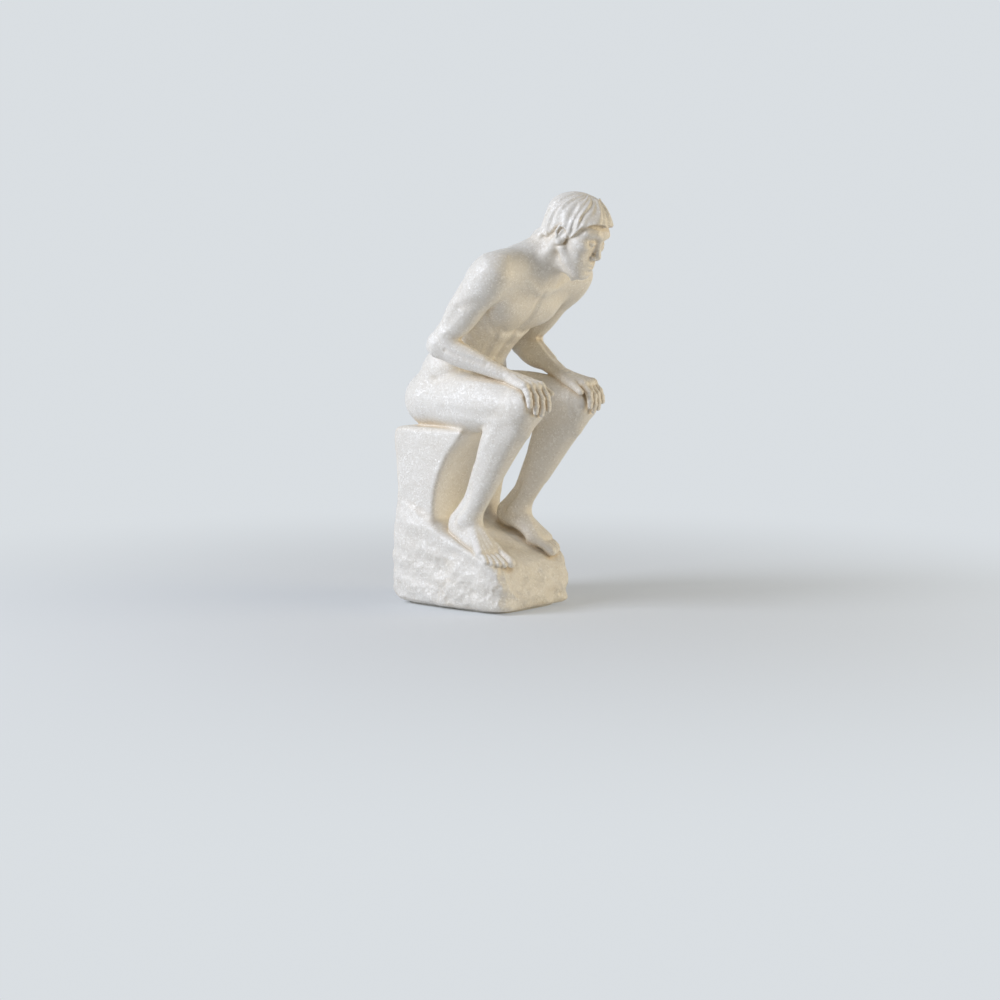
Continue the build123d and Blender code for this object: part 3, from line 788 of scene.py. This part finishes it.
def model_head(clay):
    neck = Limb(neck_root - neck_axis * 8, on_head(0, -4.5, 1), trunk_axis - BACK, ACROSS, (0, 0.5, 1),
                (12.5, 9.9, 10.4), (12.5, 10.6, 10))
    clay.add(neck.form())
    clay.egg(on_head(0, -1.6, 6.2), head_axes, (13.6, 17.2, 14.2), 4)
    high, low = face_heights[0], face_heights[-1]
    shares = [(high - height) / (high - low) for height in face_heights]
    half_depths = [(front - back) / 2 for front, back in zip(face_fronts, face_backs)]
    setbacks = [-(front + back) / 2 for front, back in zip(face_fronts, face_backs)]
    face = Limb(on_head(0, 0, high), on_head(0, 0, low), head_forward, head_side, shares, face_widths,
                half_depths, setbacks, 2.3)
    clay.add(face.form(), 4)

    def at(across, forward, up):
        return on_head(side * across, forward, up)

    for side in SIDES:
        work(clay, jaw_masses, at, head_axes)
    throat = between(neck_root, skull_base, 0.75) + neck.front * 6
    clay.bar([on_head(0, 7, -15), throat], (6.4, 7.6), 7)
    cap = hair_form(clay.depth.copy(), clay.points)
    for side in SIDES:
        outward = head_side * side
        work(clay, brow_masses, at, head_axes)
        clay.carve(lump(at(*socket_place), head_axes, socket_radii), 2)
        work(clay, eye_rows, at, head_axes, head_forward)
        clay.stroke([at(*place) for place in nostril], 0.8, -0.4, -head_up)
        work(clay, ear_rows, at, (outward, *ear_tilt), outward)
        # The neck's slanting muscle
        beside = between(neck_root, skull_base, 0.55) + ACROSS * side * 8.6 + neck.front * 3.8
        clay.bar([at(11.4, -4.8, -7), beside, trunk_at(side * 3.2, -12, 92)], (2.2, 2, 1.7), 5)
    work(clay, middle_rows, on_head, head_axes, head_forward)
    larynx = between(neck_root, skull_base, 0.7) + neck.front * 9.4
    clay.egg(larynx, head_axes, (2.2, 2.4, 3), 2.5)
    clay.depth = smooth_min(clay.depth, cap, 0.6).astype(np.float32)


# Boulder

tier_slope = heading(foot_pitch - 90)
tier_apron = heading(apron_pitch - 90)
highest_sole = max((on_sole(side) for side in SIDES), key=lambda place: place @ tier_slope)
# The seat block's front and back faces: height, and how far back
front_table = smooth_table((38, 50, 62, 74, 84, 92, 98, 103, 110),
                           (11, 10.6, 9.6, 7, 2.4, -2.8, -8, -11.4, -12.4))
back_table = smooth_table((38, 52, 66, 80, 94, 110), (41.6, 40.4, 39.8, 41, 42.4, 41.4))
# Strata over the flanks, and the chipped lower part
stratum_height = 12.5
stratum_depth = 0.45
rough_top = 36
rough_fade = 14
flake_depth = 0.55
# How far the flanks draw in over the tier
draw_start = 46
draw_height = 20
draw_depth = 4.5
# How softly its faces meet
slope_blend = 3
apron_blend = 3.5
brow_blend = 3
back_blend = 6
top_blend = 4
tier_blend = 4
front_edge_blend = 5.5
back_edge_blend = 9


def rock_depth(points):
    x, y, z = points.T
    wide, deep = base_width / 2, base_depth / 2
    ring = ((np.abs(x) / wide) ** 6 + (np.abs(y) / deep) ** 6) ** (1 / 6)
    side = np.hypot(x, y) * (1 - 1 / np.maximum(ring, 1e-4))
    lumps = noise(points, 15, 3) * 0.7 + noise(points, 7, 5) * 0.3
    chips = 0.5 - np.abs(noise(points, 11, 11)) + 0.5 * (0.5 - np.abs(noise(points, 5.5, 13)))
    waves = np.sin((z - 0.3 * y + 5 * noise(points, 20, 9)) * 2 * pi / stratum_height) * stratum_depth
    flakes = 0.5 - np.abs(noise(points, 3.2, 17))
    rough = np.clip((rough_top - z) / rough_fade, 0, 1)
    draw = np.clip((z - draw_start) / draw_height, 0, 1)
    flank = side + 0.7 + draw * draw * (3 - 2 * draw) * draw_depth - waves
    slope = (points - highest_sole) @ tier_slope
    apron = (points - vec(0, -deep, pad_thickness + apron_height)) @ tier_apron
    tier = smooth_max(smooth_max(flank, slope, slope_blend), apron, apron_blend)
    tier = tier - lumps - chips * (0.9 + 0.9 * rough) - flakes * flake_depth * rough
    lip = np.interp(z, *front_table)
    steep = np.interp(z, front_table[0], np.gradient(front_table[1], front_table[0]))
    front = (lip - y) / np.sqrt(1 + steep * steep)
    block = smooth_max(np.abs(x) - seat_width / 2 + 0.5, front, brow_blend)
    block = smooth_max(block, y - np.interp(z, *back_table), back_blend)
    block = smooth_max(block - lumps * 0.45 - chips * 0.25, z - seat_height, top_blend)
    whole = smooth_min(tier, block, tier_blend)
    edge_blend = between(front_edge_blend, back_edge_blend, np.clip(y / deep, 0, 1))
    return smooth_max(whole, pad_thickness - z, edge_blend)


core_half_width = seat_width / 2 - core_wall
core_front = seat_foot + core_wall
core_back = seat_back - core_wall
core_middle = vec(0, (core_front + core_back) / 2, 0)
core_top = seat_height - core_roof
plate_lip = 2.5
plate_thickness = 3.0
core_draft = 2.0


def core_depth(points):
    """The hollow in the boulder: the core and the recess for the floor plate."""
    x, y, z = (points - core_middle).T
    draw = core_draft * (z - pad_thickness) / (core_top - pad_thickness)
    depths = []
    for grow, top in ((-draw, core_top), (plate_lip, pad_thickness + plate_thickness)):
        u = np.abs(x) - core_half_width - grow + core_corner
        v = np.abs(y) - (core_back - core_front) / 2 - grow + core_corner
        d = np.hypot(np.maximum(u, 0), np.maximum(v, 0)) + np.minimum(np.maximum(u, v), 0) - core_corner
        depths.append(np.maximum(d, z - top))
    return np.minimum(*depths)


# The figure as one surface, parted into castings

castings = ("torso", "head", "right_leg", "left_leg", "right_arm", "left_arm")


def sculpted(points, model, *side):
    clay = Clay(points)
    model(clay, *side)
    return clay.depth


def figure_depths(points):
    """The distance to each casting's clay, in the order of castings."""
    middle = [sculpted(points, model) for model in (model_trunk, model_head)]
    return middle + [sculpted(points, model, side) for model in (model_leg, model_arm) for side in SIDES]


# How softly the castings run into each other, and into the boulder at the feet and at the seat
neck_blend = 5.0
hip_blend = 3.0
arm_blend = 0.7
armpit_blend = 5.3
armpit_reach = 20
foot_fillet = 1.0
seat_fillet_gain = 2.0
fillet_foot_height = 70
fillet_gain_height = 25
apron_lift = 0.05
apron_depth = 1.2


def figure_depth(points, parts=None):
    """The whole figure, with a fillet where it meets the boulder."""
    torso, head, *limbs = figure_depths(points) if parts is None else parts
    body = smooth_min(torso, head, neck_blend)
    for leg in limbs[:2]:
        body = smooth_min(body, leg, hip_blend)
    for side, arm in zip(SIDES, limbs[2:]):
        near = length_of(points - shoulder_joint(side)) / armpit_reach
        body = smooth_min(body, arm, arm_blend + armpit_blend * np.exp(-near * near))
    rock = rock_depth(points)
    high = np.clip((points[:, 2] - fillet_foot_height) / fillet_gain_height, 0, 1)
    fillet = foot_fillet + seat_fillet_gain * high
    apron = np.maximum(rock + apron_lift, -rock - apron_depth)
    return smooth_min(body, np.maximum(apron, body - fillet), fillet).astype(np.float32)


# Where the seams run: how high each limb's casting reaches, and how far it leads over the trunk's
neck_seam_radius = 9.0
neck_seam_steepness = 0.9
head_lead = 12
leg_top = 150
hip_lead = 0.5
hip_lead_reach = 25
free_arm_top = 178
shoulder_lead = 3.0
shoulder_lead_height = 174
shoulder_lead_rise = 10


def labels_at(points, parts, depth):
    """Which casting each point is in, from 1, or 0 outside."""
    x, height = points[:, 0], points[:, 2]
    # The neck's seam is a cone that leaves the skin of the shoulders steeply
    past_joint = (points - neck_joint) @ neck_axis
    spread = length_of(points - neck_joint - past_joint[:, None] * neck_axis)
    allowed = [np.ones(len(points), bool),
               past_joint > np.maximum(0, (spread - neck_seam_radius) * neck_seam_steepness)]
    for side in SIDES:
        down_thigh = (points - hip_joint(side)) @ thigh_direction(side)
        allowed.append((down_thigh > 0) & (x * side > 0) & (height < leg_top))
    for side in SIDES:
        past = x * side > shoulder_cut_share * shoulder_half_spacing
        allowed.append((past | (height < free_arm_top)) & (x * side > 0))
    ranked = np.array([np.where(ok, part, FAR * 2) for ok, part in zip(allowed, parts)])
    best = ranked.argmin(0) + 1
    best[allowed[1] & (parts[1] < parts[0] + head_lead)] = 2
    for i, side in enumerate(SIDES):
        down_thigh = (points - hip_joint(side)) @ thigh_direction(side)
        mine = allowed[2 + i] & (best == 1) & (down_thigh < hip_lead_reach)
        best[mine & (parts[2 + i] < hip_lead)] = 3 + i
        # The shoulder's seam leaves the skin steeply, a little way onto the trunk
        seam_lead = shoulder_lead * np.clip((height - shoulder_lead_height) / shoulder_lead_rise, 0, 1)
        joined = allowed[4 + i] & (best != 2) & (parts[4 + i] < parts[0] + seam_lead)
        best[joined] = 5 + i
    return np.where(depth < 0, best, 0).astype(np.uint8)


batch = 250000


def sampled(low, cell, shape, index):
    """Depth and label at the grid points of a flat index, a batch at a time."""
    depth, label = np.empty(len(index), np.float32), np.empty(len(index), np.uint8)
    for start in range(0, len(index), batch):
        part = slice(start, start + batch)
        points = low + cell * np.stack(np.unravel_index(index[part], shape), 1)
        parts = figure_depths(points)
        depth[part] = figure_depth(points, parts)
        label[part] = labels_at(points, parts, depth[part])
    return depth, label


def figure_grid(low, high, cell, levels):
    """Samples the figure's box coarsely, then again and again at half the size near the surface."""
    shape = tuple(np.ceil((high - low) / cell).astype(int) + 1)
    depth, label = sampled(low, cell, shape, np.arange(np.prod(shape)))
    depth, label = depth.reshape(shape), label.reshape(shape)
    for level in range(levels):
        near = np.abs(depth) < cell * 1.7
        for axis in range(3):
            depth, label, near = [np.repeat(grid, 2, axis) for grid in (depth, label, near)]
        low, cell, shape = low - cell / 4, cell / 2, depth.shape
        index = np.flatnonzero(near)
        depth.flat[index], label.flat[index] = sampled(low, cell, shape, index)
    return low, cell, depth, label


def surface_net(low, cell, depth, label):
    """Closed quad surfaces round every label, which share their points where they meet."""
    shape = np.array(depth.shape)
    strides = np.array((shape[1] * shape[2], shape[2], 1))
    cells, places, weights, quads = [], [], [], {}
    for axis in range(3):
        here, there = [slice(None)] * 3, [slice(None)] * 3
        here[axis], there[axis] = slice(0, -1), slice(1, None)
        a, b = label[tuple(here)], label[tuple(there)]
        at = np.stack(np.nonzero(a != b), 1)
        key = at @ strides
        a, b = label.ravel()[key], label.ravel()[key + strides[axis]]
        u, v = depth.ravel()[key], depth.ravel()[key + strides[axis]]
        outer = (a == 0) | (b == 0)
        step = np.where(outer, u / np.where(u == v, 1, u - v), 0.5)
        place = at.astype(float)
        place[:, axis] += np.clip(step, 0, 1)
        across, along = strides[(axis + 1) % 3], strides[(axis + 2) % 3]
        corners = np.stack((key - across - along, key - along, key, key - across), 1)
        cells.append(corners.ravel())
        places.append(np.repeat(place, 4, 0))
        weights.append(np.repeat(np.where(outer, 1.0, 1e-6), 4))
        for value in range(1, len(castings) + 1):
            found = [corners[a == value], corners[b == value][:, ::-1]]
            quads.setdefault(value, []).extend(found)
    keys, index = np.unique(np.concatenate(cells), return_inverse=True)
    places, weights = np.concatenate(places), np.concatenate(weights)
    total = np.bincount(index, weights)
    points = np.stack([np.bincount(index, weights * places[:, i]) / total for i in range(3)], 1)
    outer = total > 0.5
    faces = {value: np.searchsorted(keys, np.concatenate(rows)) for value, rows in quads.items()}
    return low + cell * points, outer, faces


TETRAHEDRON = np.array(((1, 1, 1), (1, -1, -1), (-1, 1, -1), (-1, -1, 1))) / sqrt(3)


longest_shift = 0.6


def settled(points, field, reach):
    """Points moved onto the surface where a field is zero, with the surface's normals."""
    depths = np.stack([field(points + way * reach) for way in TETRAHEDRON], 1)
    slope = depths @ TETRAHEDRON * 0.75 / reach
    square = np.maximum((slope * slope).sum(1), 0.04)
    shift = -slope * (depths.mean(1) / square)[:, None]
    size = np.maximum(length_of(shift), 1e-9)
    shift *= np.minimum(1, longest_shift / size)[:, None]
    return points + shift, slope / np.sqrt(square)[:, None]


def in_batches(field):
    return lambda points: np.concatenate([field(points[start:start + batch])
                                          for start in range(0, len(points), batch)])


def scene_depth(points):
    return np.minimum(figure_depth(points), rock_depth(points))


# How far out a recess is felt for, and how much each distance counts, to paint shade into recesses
recess_feelers = ((1.2, 0.4), (3.6, 0.6))


def recess_shade_at(points, normals):
    """How far a place is shut in by what is near, from 0 in the open to 1. This sets the shade painted into
    recesses.
    """
    shut = 0.0
    for reach, weight in recess_feelers:
        free = in_batches(scene_depth)(points + normals * reach)
        shut = shut + weight * np.clip(1 - free / reach, 0, 1)
    return shut


def linked(name, data):
    piece = bpy.data.objects.new(name, data)
    bpy.context.scene.collection.objects.link(piece)
    return piece


def mesh_object(name, points, quads, normals, recess):
    used, index = np.unique(quads, return_inverse=True)
    quads = index.reshape(quads.shape)
    mesh = bpy.data.meshes.new(name)
    mesh.vertices.add(len(used))
    mesh.vertices.foreach_set("co", (points[used] * MM).astype(np.float32).ravel())
    mesh.loops.add(quads.size)
    mesh.loops.foreach_set("vertex_index", quads.astype(np.int32).ravel())
    mesh.polygons.add(len(quads))
    mesh.polygons.foreach_set("loop_start", np.arange(0, quads.size, 4, dtype=np.int32))
    mesh.update(calc_edges=True)
    mesh.validate()
    mesh.shade_smooth()
    # The recess attribute carries how shut in each place is, for the painted shade in recesses
    tint = mesh.attributes.new("recess", "FLOAT", "POINT")
    tint.data.foreach_set("value", recess[used].astype(np.float32))
    mesh.normals_split_custom_set_from_vertices(normals[used])
    return linked(name, mesh)


# Castings

coarse_cell = 2.0
levels = 2
figure_low, figure_high = vec(-52, -94, 14), vec(52, 48, 244)
low, cell, depth, label = figure_grid(figure_low, figure_high, coarse_cell, levels)
points, outer, faces = surface_net(low, cell, depth, label)
outer_index = np.flatnonzero(outer)
normals = np.tile(UP, (len(points), 1))
feeler = cell * 0.35
points[outer_index], normals[outer_index] = settled(points[outer_index], in_batches(figure_depth), feeler)
# Where castings meet, the faces between them stay under the skin
sunk_depth = 0.35
inner_index = np.flatnonzero(~outer)
shallow = inner_index[in_batches(figure_depth)(points[inner_index]) > -sunk_depth]
points[shallow] = settled(points[shallow], lambda places: figure_depth(places) + sunk_depth, feeler)[0]
# How shut in each place is, which the stone's colour turns into painted shade
recess = np.zeros(len(points))
recess[outer_index] = recess_shade_at(points[outer_index], normals[outer_index])
pieces = {name: mesh_object(name + "_casting", points, faces[i + 1], normals, recess)
          for i, name in enumerate(castings)}


def boulder_depth(points):
    return np.maximum(rock_depth(points), -core_depth(points))


rock_cell = 0.9
rock_low, rock_high = vec(-44, -57, -3), vec(44, 57, 110)
shape = tuple(np.ceil((rock_high - rock_low) / rock_cell).astype(int) + 1)
grid_points = rock_low + rock_cell * np.stack(np.unravel_index(np.arange(np.prod(shape)), shape), 1)
rock_grid = in_batches(boulder_depth)(grid_points).reshape(shape)
rock_label = (rock_grid < 0).astype(np.uint8)
rock_points, _, rock_faces = surface_net(rock_low, rock_cell, rock_grid, rock_label)
rock_feeler = 0.3
rock_points, rock_normals = settled(rock_points, in_batches(boulder_depth), rock_feeler)
pieces["rock_seat"] = mesh_object("rock_seat_casting", rock_points, rock_faces[1], rock_normals,
                                  recess_shade_at(rock_points, rock_normals))

# Felt pad

def ringed(name, rings, closed):
    """A skin over one ring of points after another. The last one is filled, and if closed also the first."""
    corners = len(rings[0])
    faces = []
    for row in range(0, corners * (len(rings) - 1), corners):
        for i in range(corners):
            j = (i + 1) % corners
            faces.append((row + i, row + j, row + corners + j, row + corners + i))
    faces.append(tuple(range(corners * (len(rings) - 1), corners * len(rings))))
    if closed:
        faces.append(tuple(reversed(range(corners))))
    mesh = bpy.data.meshes.new(name)
    mesh.from_pydata([place for ring in rings for place in ring], [], faces)
    mesh.update()
    return linked(name, mesh)


pad_half_width = base_width / 2 - pad_margin
pad_half_length = base_depth / 2 - pad_margin
pad_corners = 144
pad_soft = 0.45
pad_squareness = 6


def pad_ring(height, inset):
    ring = []
    for i in range(pad_corners):
        turn = 2 * pi * i / pad_corners
        reach = (abs(cos(turn))**pad_squareness + abs(sin(turn))**pad_squareness) ** (-1 / pad_squareness)
        ring.append(((pad_half_width - inset) * reach * cos(turn) * MM,
                     (pad_half_length - inset) * reach * sin(turn) * MM, height * MM))
    return ring


pad_rounding = [(0.0, pad_soft), (pad_soft * 0.3, pad_soft * 0.3), (pad_soft, 0.0)]
pad_top = [(pad_thickness - height, inset) for height, inset in reversed(pad_rounding)]
felt = ringed("felt_base", [pad_ring(*row) for row in pad_rounding + pad_top], closed=True)


# Materials

def feed(tree, socket, value):
    """Links an output to a socket, or sets a plain value."""
    if hasattr(value, "is_linked"):
        tree.links.new(value, socket)
    else:
        socket.default_value = value


def material(name, **settings):
    made = bpy.data.materials.new(name)
    made.use_nodes = True
    shader = made.node_tree.nodes["Principled BSDF"]
    for socket, value in settings.items():
        shader.inputs[socket.replace("_", " ")].default_value = value
    return made, made.node_tree, shader


def node(tree, kind, *sources, **settings):
    """A node whose first sockets take the sources. Settings name its options and its other sockets."""
    made = tree.nodes.new(kind)
    for key, value in settings.items():
        if hasattr(made, key):
            setattr(made, key, value)
        else:
            feed(tree, made.inputs[key.replace("_", " ")], value)
    for socket, value in zip(made.inputs, sources):
        feed(tree, socket, value)
    return made


def ramp(tree, source, stops):
    made = node(tree, "ShaderNodeValToRGB", source)
    elements = made.color_ramp.elements
    while len(elements) < len(stops):
        elements.new(0.5)
    for element, (place, colour) in zip(elements, stops):
        element.position = place
        element.color = (*colour, 1.0)
    return made.outputs["Color"]


def multiplied(tree, share, a, b):
    made = node(tree, "ShaderNodeMix", share, data_type="RGBA", blend_type="MULTIPLY")
    feed(tree, made.inputs[6], a)
    feed(tree, made.inputs[7], b)
    return made.outputs[2]


def vector(tree, operation, *sources, **settings):
    return node(tree, "ShaderNodeVectorMath", *sources, operation=operation, **settings).outputs[0]


# The stone's looks. Colours and values stand at places along a ramp.
grain_scale = 1200.0
stone_tones = [(0.3, (0.815, 0.775, 0.70)), (0.7, (0.855, 0.825, 0.765))]
# Painted shade: these tints darken and warm the colour in recesses
painted_recess_shade = [(0.05, (1, 1, 1)), (0.9, (0.90, 0.815, 0.69))]
# Grain in the colour: darker and paler cells are the stone's own grain, and the brightest bluish cells are
# painted glints; patches make both stronger in places
grain_and_glint_tints = [(0.0, (0.89, 0.87, 0.84)), (0.4, (0.975, 0.97, 0.96)), (0.8, (1.0, 1.0, 1.0)),
               (0.92, (1.15, 1.16, 1.18))]
grain_and_glint_patches = [(0.38, (0.5, 0.5, 0.5)), (0.6, (1.0, 1.0, 1.0))]
gloss_values = [(0.7, (0.58, 0.58, 0.58)), (0.9, (0.34, 0.34, 0.34))]
facet_range = {"From_Min": 0.6, "From_Max": 0.9, "To_Min": 0.6, "To_Max": 1.1}
grain_relief = 0.00022


def stone():
    made, tree, shader = material("cast_stone", Roughness=0.5, Coat_Weight=0.38, Coat_Roughness=0.18)
    place = node(tree, "ShaderNodeTexCoord").outputs["Object"]

    def noise_of(scale, detail=2.0):
        made = node(tree, "ShaderNodeTexNoise", place, Scale=scale, Detail=detail, Roughness=0.6)
        return made.outputs["Fac"]

    grain = node(tree, "ShaderNodeTexVoronoi", place, Scale=grain_scale).outputs
    pick = node(tree, "ShaderNodeSeparateColor", grain["Color"]).outputs
    tone = ramp(tree, noise_of(28.0, 3.0), stone_tones)
    # Painted shade: the colour is darkened and warmed where a place is shut in
    recess = node(tree, "ShaderNodeAttribute", attribute_name="recess").outputs["Fac"]
    tone = multiplied(tree, 1.0, tone, ramp(tree, recess, painted_recess_shade))
    # Grain, with painted glints in its brightest cells, stronger in patches
    grain_and_glint = ramp(tree, pick["Red"], grain_and_glint_tints)
    tone = multiplied(tree, ramp(tree, noise_of(150.0), grain_and_glint_patches), tone, grain_and_glint)
    # Crystal facets lean every way, and some of them catch the light
    lean = vector(tree, "SUBTRACT", grain["Color"], (0.5, 0.5, 0.5))
    tilt = node(tree, "ShaderNodeMapRange", pick["Green"], **facet_range).outputs[0]
    normal = node(tree, "ShaderNodeNewGeometry").outputs["Normal"]
    turned = vector(tree, "NORMALIZE", vector(tree, "ADD", normal, vector(tree, "SCALE", lean, Scale=tilt)))
    bump = node(tree, "ShaderNodeBump", Strength=0.5, Distance=grain_relief, Height=grain["Distance"])
    feed(tree, shader.inputs["Base Color"], tone)
    feed(tree, shader.inputs["Roughness"], ramp(tree, pick["Green"], gloss_values))
    feed(tree, shader.inputs["Coat Normal"], turned)
    feed(tree, shader.inputs["Normal"], bump.outputs["Normal"])
    return made


cast_stone = stone()
for name, piece in pieces.items():
    piece.data.materials.append(cast_stone)
    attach(piece, "root")
    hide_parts(name)


def grained(name, colour, other, scale, stretch=(1, 1, 1), roughness=0.6, metallic=0.0, depth=0.0001):
    """A plain material with noise grain, drawn out along an axis where stretch says so."""
    made, tree, shader = material(name, Roughness=roughness, Metallic=metallic)
    place = node(tree, "ShaderNodeTexCoord").outputs["Object"]
    place = node(tree, "ShaderNodeMapping", place, Scale=stretch).outputs["Vector"]
    grain = node(tree, "ShaderNodeTexNoise", place, Scale=scale, Detail=6.0, Roughness=0.65).outputs["Fac"]
    bump = node(tree, "ShaderNodeBump", Strength=0.6, Distance=depth, Height=grain)
    feed(tree, shader.inputs["Base Color"], ramp(tree, grain, [(0.35, colour), (0.65, other)]))
    feed(tree, shader.inputs["Normal"], bump.outputs["Normal"])
    return made


steel = grained("drawn_steel", (0.60, 0.61, 0.62), (0.68, 0.69, 0.70), 900, stretch=(1, 1, 0.05),
                roughness=0.34, metallic=1.0, depth=0.00002)
plaster = grained("poured_plaster", (0.85, 0.84, 0.80), (0.89, 0.88, 0.85), 260, roughness=0.85)
board = grained("pressed_board", (0.50, 0.42, 0.32), (0.60, 0.52, 0.41), 700, stretch=(1, 1, 6),
                roughness=0.9, depth=0.00015)
rubber = grained("moulded_rubber", (0.045, 0.045, 0.047), (0.06, 0.06, 0.062), 500, roughness=0.65)
cream_felt = grained("cream_felt", (0.72, 0.69, 0.61), (0.84, 0.81, 0.74), 1800, roughness=0.95, depth=0.0003)
finishes = {"neck_dowel": steel, "shoulder_dowels": steel, "hip_dowels": steel, "seat_studs": steel,
            "foot_pins": steel, "ballast_block": plaster, "base_plate": board, "filler_plug": rubber}
for name, finish in finishes.items():
    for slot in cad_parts[name].material_slots:
        slot.material = finish

felt.data.materials.append(cream_felt)
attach(felt, "root")
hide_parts("felt_pad")


# Stage, light and camera

backdrop = (0.70, 0.735, 0.765, 1)
floor_tone = (0.74, 0.76, 0.78, 1)
floor_radii = (40.0, 15.0, 6.0, 2.5, 1.2, 0.6, 0.3, 0.15)
floor_corners = 96
floor_fade = {"From_Min": 0.0, "From_Max": 0.55, "To_Min": 0.35, "To_Max": 1.0}


def seen(tree):
    """1 for what the camera, a reflection or a glass sees directly."""
    path = node(tree, "ShaderNodeLightPath").outputs
    total = path["Is Camera Ray"]
    for name in ("Is Glossy Ray", "Is Transmission Ray"):
        total = node(tree, "ShaderNodeMath", total, path[name], operation="ADD", use_clamp=True).outputs[0]
    return total


def stage_piece():
    """A wide floor that takes the ornament's shadow and fades into the backdrop's tone all round."""
    turns = [2 * pi * i / floor_corners for i in range(floor_corners)]
    piece = ringed("stage", [[(radius * cos(turn), radius * sin(turn), 0) for turn in turns]
                             for radius in floor_radii], closed=False)
    made, tree, shader = material("stage", Roughness=0.9, Base_Color=floor_tone, Specular_IOR_Level=0.1)
    place = node(tree, "ShaderNodeTexCoord").outputs["Object"]
    far = node(tree, "ShaderNodeVectorMath", place, operation="LENGTH").outputs["Value"]
    fade = node(tree, "ShaderNodeMapRange", far, interpolation_type="SMOOTHSTEP", **floor_fade).outputs[0]
    share = node(tree, "ShaderNodeMath", fade, seen(tree), operation="MULTIPLY").outputs[0]
    glow = node(tree, "ShaderNodeEmission", Color=backdrop, Strength=1.0).outputs[0]
    mix = node(tree, "ShaderNodeMixShader", share, shader.outputs[0], glow).outputs[0]
    feed(tree, tree.nodes["Material Output"].inputs["Surface"], mix)
    piece.data.materials.append(made)
    return piece


stage_piece()


def lamp(name, place, target, size, power, colour):
    data = bpy.data.lights.new(name, "AREA")
    data.shape, data.size, data.energy, data.color = "DISK", size, power, colour
    made = linked(name, data)
    made.location = place
    made.rotation_euler = (Vector(target) - Vector(place)).to_track_quat("-Z", "Y").to_euler()


middle = (0, 0, 0.12)
lamp("key", (-1.0, 0.5, 0.75), middle, size=0.6, power=14.2, colour=(0.845, 0.89, 1.0))
lamp("fill", (0.6, -1.0, 0.3), middle, size=0.9, power=7.6, colour=(1.0, 0.845, 0.575))
ambient_tone = (1.0, 0.965, 0.91, 1)
ambient_strength = 0.16

world = bpy.data.worlds.new("world")
bpy.context.scene.world = world
world.use_nodes = True
tree = world.node_tree
ambient = tree.nodes["Background"]
feed(tree, ambient.inputs["Color"], ambient_tone)
feed(tree, ambient.inputs["Strength"], ambient_strength)
around = node(tree, "ShaderNodeBackground", Color=backdrop, Strength=1.0)
mix = node(tree, "ShaderNodeMixShader", seen(tree), ambient.outputs[0], around.outputs[0])
feed(tree, tree.nodes["World Output"].inputs["Surface"], mix.outputs[0])

camera_data = bpy.data.cameras.new("camera")
camera_data.lens = 68.8
camera_data.sensor_width = 36.0
camera_data.shift_x = 0.0193
camera = linked("camera", camera_data)
view_azimuth, view_distance, view_height, view_drop = radians(50.0), 1.131, 0.179, radians(5.92)
camera.location = (-sin(view_azimuth) * view_distance, -cos(view_azimuth) * view_distance, view_height)
camera.rotation_euler = (pi / 2 - view_drop, 0, -view_azimuth)
bpy.context.scene.camera = camera

bpy.context.scene.view_settings.view_transform = "Standard"
